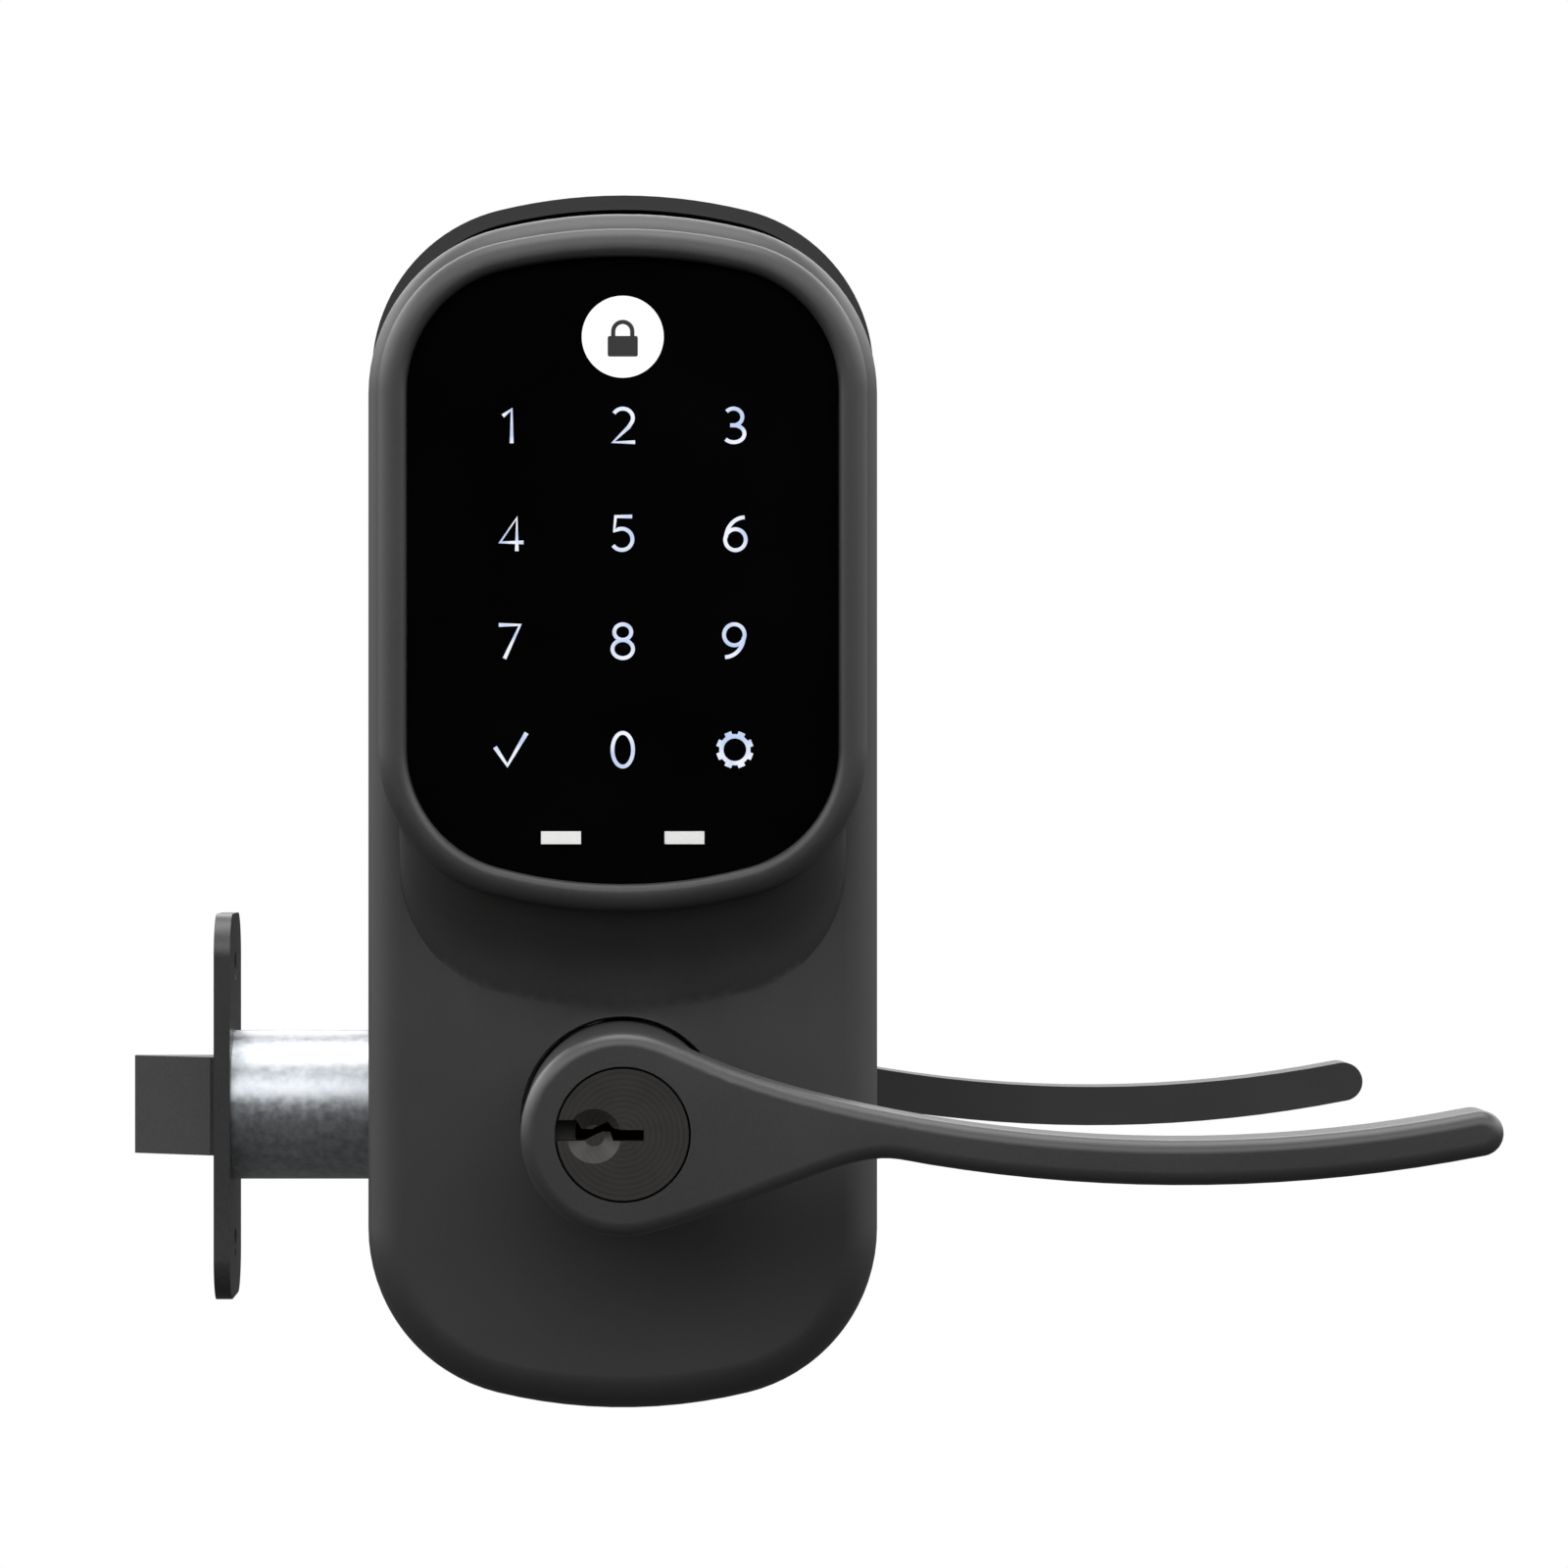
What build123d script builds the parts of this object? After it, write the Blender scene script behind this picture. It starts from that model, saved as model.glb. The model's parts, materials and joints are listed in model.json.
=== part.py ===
"""Keypad smart lock with two levers, assembled as it sits on a door.

Millimetres, +Z up. The origin is on the spindle axis at the door's outside face; +Y runs through the
door to the inside, +X points from the spindle towards the door's hinges, and the latch points to -X.
"""

import os
from math import asin, cos, radians, sin, sqrt

from build123d import *

os.makedirs("parts", exist_ok=True)

# ---- driving dimensions -------------------------------------------------------------------------
DOOR = 44.5  # door thickness, 1 3/4 in
BORE_MID = DOOR / 2  # the latch lies in the middle of the door
BACKSET = 60.3  # spindle axis to the door's edge, 2 3/8 in
THROW = 12.7  # latch bolt throw
WALL = 2.4  # die-cast wall
LEVER_FRONT = 60.0  # front of each lever above its own door face

# outside plate: width, lower and upper end, end arc and corner arc radii
OUT_WIDTH, OUT_LOW, OUT_HIGH = 73.0, -41.7, 129.5
OUT_END_R, OUT_CORNER_R = 76.0, 24.3
OUT_FACE = 18.0  # lower front face above the door
RIM_FACE = 30.0  # keypad rim above the door
RIM_WIDTH = 4.2  # rim beyond the glass all round
GLASS_FACE = 28.0
GLASS_WIDTH, GLASS_LOW, GLASS_HIGH = 60.6, 33.7, 121.8
GLASS_LOW_R, GLASS_HIGH_R, GLASS_CORNER_R = 67.3, 73.5, 17.2

# inside plate and battery cover
IN_WIDTH, IN_LOW, IN_HIGH = 77.1, -41.5, 138.5
IN_END_R, IN_CORNER_R = 80.0, 25.6
IN_FACE = 22.0
RIDGE_FACE = 34.0
RIDGE_TALL = 3.7
COVER_FACE = 36.0
COVER_WALL = 2.2
COVER_EDGE = 41.5  # lowest point of the cover's bottom edge
COVER_EDGE_R = 270.0  # that edge is a shallow arc

# turning pieces, radii about the spindle axis
HEAD_R = 13.9  # lever head
HEAD_BORE_R = 11.0
HUB_R = 9.0
BUSH_R = 10.1
NECK_R = 12.6
FIT = 0.06  # running clearance on a radius
SPINDLE = 7.6  # square spindle
SPINDLE_BORE_R = 2.6
PLUG_FACE_R = 8.95
FACE_GAP = 0.3  # open ring between the plug's face and the lever
PLUG_R = 6.4
BUTTON_R = 8.15

# lever bar
BAR_TALL = 6.2
BAR_DEEP = 11.5
BAR_R = 210.0  # the bar's centre line is an arc that sags
BAR_SAG_X, BAR_SAG_Z = 76.0, -3.85
LEVER_TIP = 119.6

BOLT_PLACES = [(16.0, 16.0), (-16.0, -16.0)]  # the two through bolts, (x, z)
LEAD_X, LEAD_Z = -10.0, 21.5  # where the keypad's lead passes through the door


def outer(height):
    """Plane facing the outside at that height above the door's outside face; local x and y are X and Z."""
    return Plane.XZ.offset(height)


def inner(height):
    """Plane facing the inside at that height above the door's inside face; local x is -X, local y is Z."""
    return Plane(origin=(0, DOOR + height, 0), x_dir=(-1, 0, 0), z_dir=(0, 1, 0))


def save(piece, name):
    piece.part.label = name
    export_step(piece.part, f"parts/{name}.step")


def end_points(half, end, end_r, corner_r, up):
    """Side tangent point, corner midpoint, arc junction and crown of one rounded end, on the +x side."""
    run = half - corner_r
    rise = sqrt((end_r - corner_r) ** 2 - run**2)
    centre = end - up * end_r
    corner = centre + up * rise
    ux, uz = run / (end_r - corner_r), up * rise / (end_r - corner_r)
    join = (end_r * ux, centre + end_r * uz)
    mx, mz = (1 + ux) / 2, uz / 2
    scale = corner_r / sqrt(mx**2 + mz**2)
    return (half, corner), (run + scale * mx, corner + scale * mz), join, (0, end)


def plate_outline(width, low, high, low_r, high_r, corner_r, inset=0.0):
    """Adds to the sketch a plate with straight sides and ends that are a wide arc between corner arcs."""
    half = width / 2 - inset
    top = end_points(half, high - inset, high_r - inset, corner_r - inset, 1)
    bottom = end_points(half, low + inset, low_r - inset, corner_r - inset, -1)
    with BuildLine() as edge:
        for side, _, join, crown in (top, bottom):
            ThreePointArc(join, crown, (-join[0], join[1]))
        for side, middle, join, _ in (top, bottom):
            ThreePointArc(side, middle, join)
            ThreePointArc((-side[0], side[1]), (-middle[0], middle[1]), (-join[0], join[1]))
        Line(top[0], bottom[0])
        Line((-top[0][0], top[0][1]), (-bottom[0][0], bottom[0][1]))
    make_face(edge.edges())


def outside_outline(inset=0.0):
    plate_outline(OUT_WIDTH, OUT_LOW, OUT_HIGH, OUT_END_R, OUT_END_R, OUT_CORNER_R, inset)


def inside_outline(inset=0.0):
    plate_outline(IN_WIDTH, IN_LOW, IN_HIGH, IN_END_R, IN_END_R, IN_CORNER_R, inset)


def glass_outline(inset=0.0):
    plate_outline(
        GLASS_WIDTH, GLASS_LOW, GLASS_HIGH, GLASS_LOW_R, GLASS_HIGH_R, GLASS_CORNER_R, inset
    )


def disc(plane, radius, amount, centres=((0, 0),), mode=Mode.ADD):
    """Round bosses or holes that start at a plane and run along its normal."""
    with BuildSketch(plane) as ends:
        with Locations(*centres):
            Circle(radius)
    extrude(ends.sketch, amount=amount, mode=mode)


def block(plane, width, height, amount, centres=((0, 0),), mode=Mode.ADD):
    """Rectangular blocks or slots that start at a plane and run along its normal."""
    with BuildSketch(plane) as ends:
        with Locations(*centres):
            Rectangle(width, height)
    extrude(ends.sketch, amount=amount, mode=mode)


# ---- outside half: casting and seal -------------------------------------------------------------
SEAL = 1.5  # thickness of the foam seal against the door
SEAL_RIM = 3.6  # width of the foam ring
OUT_EDGE_R, RIM_OUTER_R, RIM_INNER_R = 5.0, 2.6, 1.2  # rounded edges of the plate and of the rim
GLASS_T = 2.0
BED = GLASS_FACE - 4.2  # front of the hollow behind the glass; the keypad's guide stands through it
BACK_AT, BACK_T = 15.0, 1.5  # keypad's moulded back
HOLE_OUT_R = 14.6
KEYPAD_SCREWS = [(x, z) for x in (-25.0, 25.0) for z in (44.0, 110.0)]
CHASSIS_SCREWS = [(x, z) for x in (-27.0, 27.0) for z in (-20.0, 22.0)]
CHASSIS_REAR, CHASSIS_FRONT = 4.0, 6.0  # faces of the steel chassis above the door

RIM_LOW = GLASS_LOW - RIM_WIDTH
# the cove under the rim: height of each section above the door, and its lower end
COVE_SECTIONS = [(16.0, 14.0), (18.0, 15.4), (19.4, 19.6), (21.6, 24.0), (24.0, 27.2), (26.4, RIM_LOW + 0.4)]
COVE_WIDTH = 63.6
COVE_HIGH, COVE_HIGH_R = 110.0, 70.0  # upper end of each section, hidden inside the head

# cove that sweeps from the lower face up to the rim
with BuildPart() as rim_cove:
    for height, low in COVE_SECTIONS:
        with BuildSketch(outer(height)):
            plate_outline(COVE_WIDTH, low, COVE_HIGH, GLASS_LOW_R, COVE_HIGH_R, 19.0)
    loft()

# black die-cast escutcheon: lower plate and raised keypad head with a rounded rim, joined by the cove
with BuildPart() as outer_escutcheon:
    with BuildSketch(outer(SEAL)):
        outside_outline()
    extrude(amount=OUT_FACE - SEAL)
    fillet(outer_escutcheon.faces().sort_by(Axis.Y)[0].edges(), OUT_EDGE_R)
    with BuildSketch(outer(SEAL)):
        glass_outline(-RIM_WIDTH)
    extrude(amount=RIM_FACE - SEAL)
    fillet(outer_escutcheon.faces().sort_by(Axis.Y)[0].edges(), RIM_OUTER_R)
    add(rim_cove.part)
    with BuildSketch(outer(SEAL)):
        outside_outline(WALL)
    extrude(amount=OUT_FACE - WALL - SEAL, mode=Mode.SUBTRACT)
    with BuildSketch(outer(SEAL)):
        glass_outline(WALL - RIM_WIDTH)
    extrude(amount=BED - SEAL, mode=Mode.SUBTRACT)
    with BuildSketch(outer(SEAL)):
        glass_outline(2.0)
    extrude(amount=RIM_FACE, mode=Mode.SUBTRACT)
    with BuildSketch(outer(GLASS_FACE - GLASS_T)):
        glass_outline(-0.15)
    extrude(amount=RIM_FACE, mode=Mode.SUBTRACT)
    fillet(outer_escutcheon.faces().sort_by(Axis.Y)[0].inner_wires()[0].edges(), RIM_INNER_R)
    disc(outer(SEAL), HOLE_OUT_R, OUT_FACE, mode=Mode.SUBTRACT)
    disc(outer(BACK_AT + BACK_T + 0.2), 3.0, BED - BACK_AT - BACK_T - 0.2, KEYPAD_SCREWS)
    disc(outer(BACK_AT + BACK_T + 0.2), 1.1, 6.0, KEYPAD_SCREWS, Mode.SUBTRACT)
    disc(outer(CHASSIS_FRONT + 0.05), 3.4, OUT_FACE - WALL - CHASSIS_FRONT, CHASSIS_SCREWS)
    disc(outer(CHASSIS_FRONT + 0.05), 1.85, 7.0, CHASSIS_SCREWS, Mode.SUBTRACT)
save(outer_escutcheon, "outer_escutcheon")

# soft seal: a closed ring that the door's outside face meets
with BuildPart() as outer_seal:
    with BuildSketch(outer(0)):
        outside_outline(0.6)
        with BuildSketch(mode=Mode.PRIVATE) as opening:
            outside_outline(0.6 + SEAL_RIM)
        add(opening.sketch, mode=Mode.SUBTRACT)
    extrude(amount=SEAL)
save(outer_seal, "outer_seal")

# ---- outside half: keypad stack behind the glass ------------------------------------------------
TERMINALS = [(-8.7, 40.1), (8.7, 40.1)]
TERMINAL_W, TERMINAL_T = 5.6, 1.8
GUIDE_AT = 21.0  # rear of the light guide, just off the board
TOUCH_BOARD_AT, TOUCH_BOARD_T = 19.2, 1.6
KEY_CELL = 8.4  # lit square behind each key

# touch glass, with two windows for the emergency battery terminals
with BuildPart() as touchscreen_glass:
    with BuildSketch(outer(GLASS_FACE - GLASS_T)):
        glass_outline()
    extrude(amount=GLASS_T)
    block(
        outer(GLASS_FACE - GLASS_T), TERMINAL_W + 0.2, TERMINAL_T + 0.2, GLASS_T, TERMINALS, Mode.SUBTRACT
    )
save(touchscreen_glass, "touchscreen_glass")

with BuildPart() as backup_terminals:
    block(outer(GUIDE_AT), TERMINAL_W, TERMINAL_T, GLASS_FACE + 0.5 - GUIDE_AT, TERMINALS)
save(backup_terminals, "backup_terminals")

# moulded frame that spreads the light under each digit
KEY_COLUMNS = (-15.8, 0.0, 15.8)
KEY_ROWS = (98.2, 83.0, 67.8, 52.5)
KEYS = [(x, z) for x in KEY_COLUMNS for z in KEY_ROWS]
with BuildPart() as light_guide:
    with BuildSketch(outer(GUIDE_AT)):
        glass_outline(2.3)
    extrude(amount=GLASS_FACE - GLASS_T - 0.1 - GUIDE_AT)
    block(outer(GUIDE_AT), KEY_CELL, KEY_CELL, 3.4, KEYS, Mode.SUBTRACT)
    block(outer(GUIDE_AT), TERMINAL_W + 0.4, TERMINAL_T + 0.4, 6.0, TERMINALS, Mode.SUBTRACT)
    disc(outer(GUIDE_AT), 3.3, 3.0, KEYPAD_SCREWS, Mode.SUBTRACT)
save(light_guide, "light_guide")

# touch board: one light-emitting diode under each key, controller and lead socket behind
with BuildPart() as keypad_board:
    with BuildSketch(outer(TOUCH_BOARD_AT)):
        glass_outline(3.0)
    extrude(amount=TOUCH_BOARD_T)
    disc(outer(TOUCH_BOARD_AT - 0.2), 3.3, 3.0, KEYPAD_SCREWS, Mode.SUBTRACT)
    block(outer(TOUCH_BOARD_AT + TOUCH_BOARD_T), 3.0, 2.0, 0.8, KEYS)
    block(outer(17.7), 12.0, 12.0, 1.5, [(6.0, 84.0)])
    block(outer(17.9), 8.0, 5.0, 1.3, [(LEAD_X, 41.0)])
save(keypad_board, "keypad_board")

BUZZER_AT = [(-12.0, 66.0)]
with BuildPart() as buzzer:
    disc(outer(16.9), 6.0, 2.2, BUZZER_AT)
    disc(outer(16.9), 1.0, 2.2, BUZZER_AT, Mode.SUBTRACT)
save(buzzer, "buzzer")

# moulded back of the keypad, held to the casting by four screws
with BuildPart() as keypad_backplate:
    with BuildSketch(outer(BACK_AT)):
        glass_outline(-1.4)
    extrude(amount=BACK_T)
    disc(outer(14.0), 1.4, 3.0, KEYPAD_SCREWS, Mode.SUBTRACT)
    block(outer(14.0), 11.0, 8.0, 3.0, [(LEAD_X, 39.5)], Mode.SUBTRACT)
save(keypad_backplate, "keypad_backplate")

with BuildPart() as keypad_screws:
    disc(outer(BACK_AT - 2.2), 2.4, 2.1, KEYPAD_SCREWS)
    disc(outer(BACK_AT - 0.1), 1.05, 6.4, KEYPAD_SCREWS)
    block(outer(BACK_AT - 2.2), 0.8, 2.6, 1.0, KEYPAD_SCREWS, Mode.SUBTRACT)
save(keypad_screws, "keypad_screws")

# ---- outside half: chassis, clutch drive and lever bearing --------------------------------------
NECK_LONG = 3.4  # bearing neck beyond the chassis
BUSH_AT, BUSH_LONG = 4.2, 5.0
SPRING_AT, SPRING_R, SPRING_PITCH, SPRING_WIRE_R = 6.8, 13.5, 1.3, 0.5
DRIVE_H = 10.4  # height of the clutch motor's axis above the door
DRUM_REAR = 10.5  # rear end of the lever's drum
TIP_PARKED = 17.5  # tip of the lock slide when the lever is free
MOTOR_LOW, MOTOR_R, MOTOR_LONG = 36.0, 4.0, 13.0
SCREW_LOW, SCREW_R, SCREW_LONG = 19.6, 1.4, 15.2

# steel plate with a bearing neck, two threaded posts for the through bolts and the motor's cradle
with BuildPart() as outer_chassis:
    with BuildSketch(outer(CHASSIS_REAR)):
        with Locations((0, 10.0)):
            RectangleRounded(62.0, 80.0, 12.0)
    extrude(amount=CHASSIS_FRONT - CHASSIS_REAR)
    disc(outer(CHASSIS_FRONT), NECK_R, NECK_LONG)
    disc(outer(CHASSIS_FRONT), 4.0, 7.0, BOLT_PLACES)
    disc(outer(CHASSIS_REAR), BUSH_R + 0.05, 10.0, mode=Mode.SUBTRACT)
    disc(outer(CHASSIS_REAR), 2.45, 10.0, BOLT_PLACES, Mode.SUBTRACT)
    disc(outer(CHASSIS_REAR), 1.9, 4.0, CHASSIS_SCREWS, Mode.SUBTRACT)
    disc(outer(CHASSIS_REAR), 3.0, 4.0, [(LEAD_X, LEAD_Z)], Mode.SUBTRACT)
    block(outer(CHASSIS_REAR), 6.0, 17.0, 4.0, [(LEAD_X, 30.0)], Mode.SUBTRACT)
save(outer_chassis, "outer_chassis")

with BuildPart() as chassis_screws:
    disc(outer(CHASSIS_REAR - 1.8), 3.2, 1.75, CHASSIS_SCREWS)
    disc(outer(CHASSIS_REAR - 0.1), 1.8, 7.6, CHASSIS_SCREWS)
    block(outer(CHASSIS_REAR - 1.8), 1.0, 4.0, 1.0, CHASSIS_SCREWS, Mode.SUBTRACT)
save(chassis_screws, "chassis_screws")


def bearing_bush(plane):
    """Bronze bush that fills the chassis neck."""
    with BuildPart() as bush:
        disc(plane, BUSH_R, BUSH_LONG)
        disc(plane, HUB_R + FIT, BUSH_LONG, mode=Mode.SUBTRACT)
    return bush


def return_spring(plane):
    """Torsion spring of two turns that lies round the chassis neck."""
    with BuildPart() as spring:
        with BuildLine():
            coil = Helix(SPRING_PITCH, 2.2, SPRING_R, center=plane.origin, direction=plane.z_dir)
        with BuildSketch(Plane(origin=coil @ 0, z_dir=coil % 0)):
            Circle(SPRING_WIRE_R)
        sweep(path=coil, is_frenet=True)
    return spring


save(bearing_bush(outer(BUSH_AT)), "outer_bush")
save(return_spring(outer(SPRING_AT)), "outer_return_spring")


def on_drive(bottom, radius, length, mode=Mode.ADD):
    """Upright cylinder on the clutch drive's axis."""
    disc(Plane.XY.offset(bottom), radius, length, [(0, -DRIVE_H)], mode)


# geared-down motor that moves the lock slide
with BuildPart() as clutch_motor:
    on_drive(MOTOR_LOW, MOTOR_R, MOTOR_LONG)
    on_drive(MOTOR_LOW - 1.0, 1.9, 1.0)
save(clutch_motor, "clutch_motor")

with BuildPart() as motor_clamp:
    block(outer(CHASSIS_FRONT + 0.05), 11.0, 7.0, 8.6, [(0, MOTOR_LOW + 6.0)])
    on_drive(MOTOR_LOW + 2.0, MOTOR_R + 0.05, 8.0, Mode.SUBTRACT)
save(motor_clamp, "motor_clamp")

# lead screw with a collar and a hexagonal end that the motor turns
with BuildPart() as drive_screw:
    on_drive(SCREW_LOW, SCREW_R, SCREW_LONG)
    on_drive(SCREW_LOW + 12.0, 2.6, 1.4)
    with BuildSketch(Plane.XY.offset(SCREW_LOW + SCREW_LONG - 1.9)):
        with Locations((0, -DRIVE_H)):
            RegularPolygon(1.9, 6)
    extrude(amount=1.9)
save(drive_screw, "drive_screw")

# steel slide whose tip enters a notch in the lever's drum and so locks the outside lever
with BuildPart() as lock_slide:
    block(outer(CHASSIS_FRONT + 0.4), 8.0, 8.0, 8.2, [(0, TIP_PARKED + 8.0)])
    block(outer(DRUM_REAR + 0.5), 4.4, 5.0, 3.6, [(0, TIP_PARKED + 2.5)])
    on_drive(TIP_PARKED, SCREW_R + 0.35, 14.0, Mode.SUBTRACT)
save(lock_slide, "lock_slide")

# ---- levers -------------------------------------------------------------------------------------
BORE_END = 56.0  # front end of the hollow in the lever's drum
HUB_REAR, HUB_LONG = 1.2, 22.8
GROOVE_AT, GROOVE_LONG, GROOVE_DEEP = 2.0, 1.1, 0.9  # retaining ring's groove
TANGENT_TOP, TANGENT_LOW = 70.3, -75.5  # where the arm leaves the round head, degrees
ARM_END = 42.2  # where the arm has narrowed to the bar


def bar_point(angle, offset):
    """Point on the bar at that angle along its arc, offset upwards from the centre line."""
    reach = BAR_R - offset
    return BAR_SAG_X + reach * sin(angle), BAR_SAG_Z + BAR_R - reach * cos(angle)


def lever_outline():
    """Adds to the sketch the outside lever seen from its front."""
    half = BAR_TALL / 2
    arm = asin((ARM_END - BAR_SAG_X) / BAR_R)
    tip = asin((LEVER_TIP - half - BAR_SAG_X) / BAR_R)
    top, low = radians(TANGENT_TOP), radians(TANGENT_LOW)
    start_top = (HEAD_R * cos(top), HEAD_R * sin(top))
    start_low = (HEAD_R * cos(low), HEAD_R * sin(low))
    tip_x, tip_z = bar_point(tip, 0)
    along_bar = (cos(arm), sin(arm))
    with BuildLine() as edge:
        Spline(
            start_top,
            (12.0, 10.0),
            (24.2, 5.9),
            bar_point(arm, half),
            tangents=((sin(top), -cos(top)), along_bar),
        )
        ThreePointArc(bar_point(arm, half), bar_point(0, half), bar_point(tip, half))
        ThreePointArc(
            bar_point(tip, half),
            (tip_x + half * cos(tip), tip_z + half * sin(tip)),
            bar_point(tip, -half),
        )
        ThreePointArc(bar_point(tip, -half), bar_point(0, -half), bar_point(arm, -half))
        Spline(
            start_low,
            (12.7, -10.6),
            (26.1, -5.6),
            (36.0, -3.3),
            bar_point(arm, -half),
            tangents=((-sin(low), cos(low)), along_bar),
        )
        ThreePointArc(start_top, (-HEAD_R, 0), start_low)
    make_face(edge.edges())


# die-cast lever, the same on both sides: flat head and bar with rounded edges, hollow drum behind the head
with BuildPart() as lever_blank:
    with BuildSketch(outer(LEVER_FRONT - BAR_DEEP)):
        lever_outline()
    extrude(amount=BAR_DEEP)
    fillet(lever_blank.faces().sort_by(Axis.Y)[0].edges(), 2.0)
    disc(outer(DRUM_REAR), HEAD_R, LEVER_FRONT - BAR_DEEP - DRUM_REAR)
    disc(outer(DRUM_REAR), HEAD_BORE_R, BORE_END - DRUM_REAR, mode=Mode.SUBTRACT)


def lever_hub(plane_at):
    """Steel tube pinned in the drum: it turns in the bush and takes the square spindle."""
    with BuildPart() as hub:
        disc(plane_at(HUB_REAR), HUB_R, HUB_LONG)
        disc(plane_at(18.0), HEAD_BORE_R - 0.05, 4.0)
        disc(plane_at(GROOVE_AT), HUB_R + 1.0, GROOVE_LONG, mode=Mode.SUBTRACT)
        disc(plane_at(GROOVE_AT), HUB_R - GROOVE_DEEP, GROOVE_LONG)
        block(plane_at(HUB_REAR), SPINDLE + 0.3, SPINDLE + 0.3, HUB_LONG, mode=Mode.SUBTRACT)
    return hub


def retaining_ring(plane_at):
    """Open spring-steel ring in the hub's groove that keeps the lever on."""
    with BuildPart() as ring:
        disc(plane_at(GROOVE_AT + 0.05), 11.2, 1.0)
        disc(plane_at(GROOVE_AT + 0.05), HUB_R - GROOVE_DEEP + 0.05, 1.0, mode=Mode.SUBTRACT)
        block(plane_at(GROOVE_AT + 0.05), 5.0, 8.0, 1.0, [(0, -11.0)], Mode.SUBTRACT)
    return ring


with BuildPart() as outer_lever:
    add(lever_blank.part)
    disc(outer(50.0), PLUG_FACE_R + FACE_GAP, 12.0, mode=Mode.SUBTRACT)
    block(outer(DRUM_REAR - 0.1), 5.2, 6.0, 4.8, [(0, 12.5)], Mode.SUBTRACT)
save(outer_lever, "outer_lever")
save(lever_hub(outer), "outer_hub")
save(retaining_ring(outer), "outer_retaining_ring")

# ---- key cylinder in the outside lever ----------------------------------------------------------
CYLINDER_REAR, PLUG_REAR, PLUG_FRONT = 26.0, 29.0, 59.7
PIN_HEIGHTS = [34.0 + 4.0 * i for i in range(5)]  # five pin chambers along the plug
# keyway section, from the plug's left edge to its blind end
KEYWAY = [
    (-9.2, 2.0),
    (-6.3, 2.0),
    (-5.6, 0.75),
    (-4.2, 0.7),
    (-2.05, 1.75),
    (-1.3, 0.9),
    (-0.3, 0.65),
    (2.85, 0.65),
    (2.85, -0.85),
    (-1.3, -0.87),
    (-1.67, 0.35),
    (-2.8, 0.35),
    (-5.3, -0.87),
    (-9.2, -0.87),
]


def pin_chambers(radius, start, length, mode=Mode.ADD):
    """Round chambers that run out towards -X from the plug, one per pin."""
    for height in PIN_HEIGHTS:
        face = Plane(origin=(-start, -height, 0), x_dir=(0, 1, 0), z_dir=(-1, 0, 0))
        with BuildSketch(face) as ends:
            Circle(radius)
        extrude(ends.sketch, amount=length, mode=mode)


with BuildPart() as cylinder_body:
    disc(outer(CYLINDER_REAR), HEAD_BORE_R - 0.15, BORE_END - 0.1 - CYLINDER_REAR)
    disc(outer(CYLINDER_REAR), PLUG_R + FIT, 30.0, mode=Mode.SUBTRACT)
    pin_chambers(1.5, PLUG_R, 3.8, Mode.SUBTRACT)
save(cylinder_body, "cylinder_body")

with BuildPart() as cylinder_pins:
    pin_chambers(1.4, PLUG_R + 0.25, 3.3)
save(cylinder_pins, "cylinder_pins")

# plug that the key turns: wide face disc, barrel, keyway and the cone that guides the key in
with BuildPart() as cylinder_plug:
    disc(outer(BORE_END + 0.1), PLUG_FACE_R, PLUG_FRONT - BORE_END - 0.1)
    disc(outer(PLUG_REAR), PLUG_R, BORE_END + 0.2 - PLUG_REAR)
    with BuildSketch(outer(38.0)):
        Polygon(*KEYWAY, align=None)
    extrude(amount=24.0, mode=Mode.SUBTRACT)
    with BuildSketch(outer(PLUG_FRONT)):
        with Locations((-3.9, -0.2)):
            Circle(3.7)
    extrude(amount=-1.3, taper=60, mode=Mode.SUBTRACT)
save(cylinder_plug, "cylinder_plug")

with BuildPart() as cylinder_tailpiece:
    disc(outer(27.4), 5.0, 1.6)
    block(outer(-16.0), 4.2, 1.4, 43.5)
save(cylinder_tailpiece, "cylinder_tailpiece")

# ---- latch ----------------------------------------------------------------------------------------
EDGE = -BACKSET
FACEPLATE_T, FACEPLATE_W, FACEPLATE_TALL = 2.4, 25.4, 57.2
FACEPLATE_SCREW_Z, FACEPLATE_HOLE_R = 20.65, 2.2
TUBE_R, TUBE_BORE_R, TUBE_END = 11.1, 9.9, -22.0
CASE_END, CASE_DEEP, CASE_TALL, CASE_WALL = 20.0, 13.5, 24.0, 1.2
BOLT_NEAR, BOLT_FAR, BOLT_TALL = 16.2, 25.0, 14.6  # bolt's faces along Y, and its height
PLUNGER_NEAR, PLUNGER_FAR = 25.4, 28.9


def edge_plane(x):
    """Plane facing -X at that x; local x is Y measured from the latch's middle, local y is -Z."""
    return Plane(origin=(x, BORE_MID, 0), x_dir=(0, 1, 0), z_dir=(-1, 0, 0))


with BuildPart() as latch_faceplate:
    with BuildSketch(edge_plane(EDGE + FACEPLATE_T)):
        RectangleRounded(FACEPLATE_W, FACEPLATE_TALL, 6.35)
        with Locations((22.6 - BORE_MID, 0)):
            Rectangle(13.4, BOLT_TALL + 0.6, mode=Mode.SUBTRACT)
    extrude(amount=FACEPLATE_T)
    with Locations(
        Plane(origin=(EDGE, BORE_MID, FACEPLATE_SCREW_Z), z_dir=(-1, 0, 0)),
        Plane(origin=(EDGE, BORE_MID, -FACEPLATE_SCREW_Z), z_dir=(-1, 0, 0)),
    ):
        CounterSinkHole(FACEPLATE_HOLE_R, 3.4, depth=4.0, counter_sink_angle=82)
save(latch_faceplate, "latch_faceplate")

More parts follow.
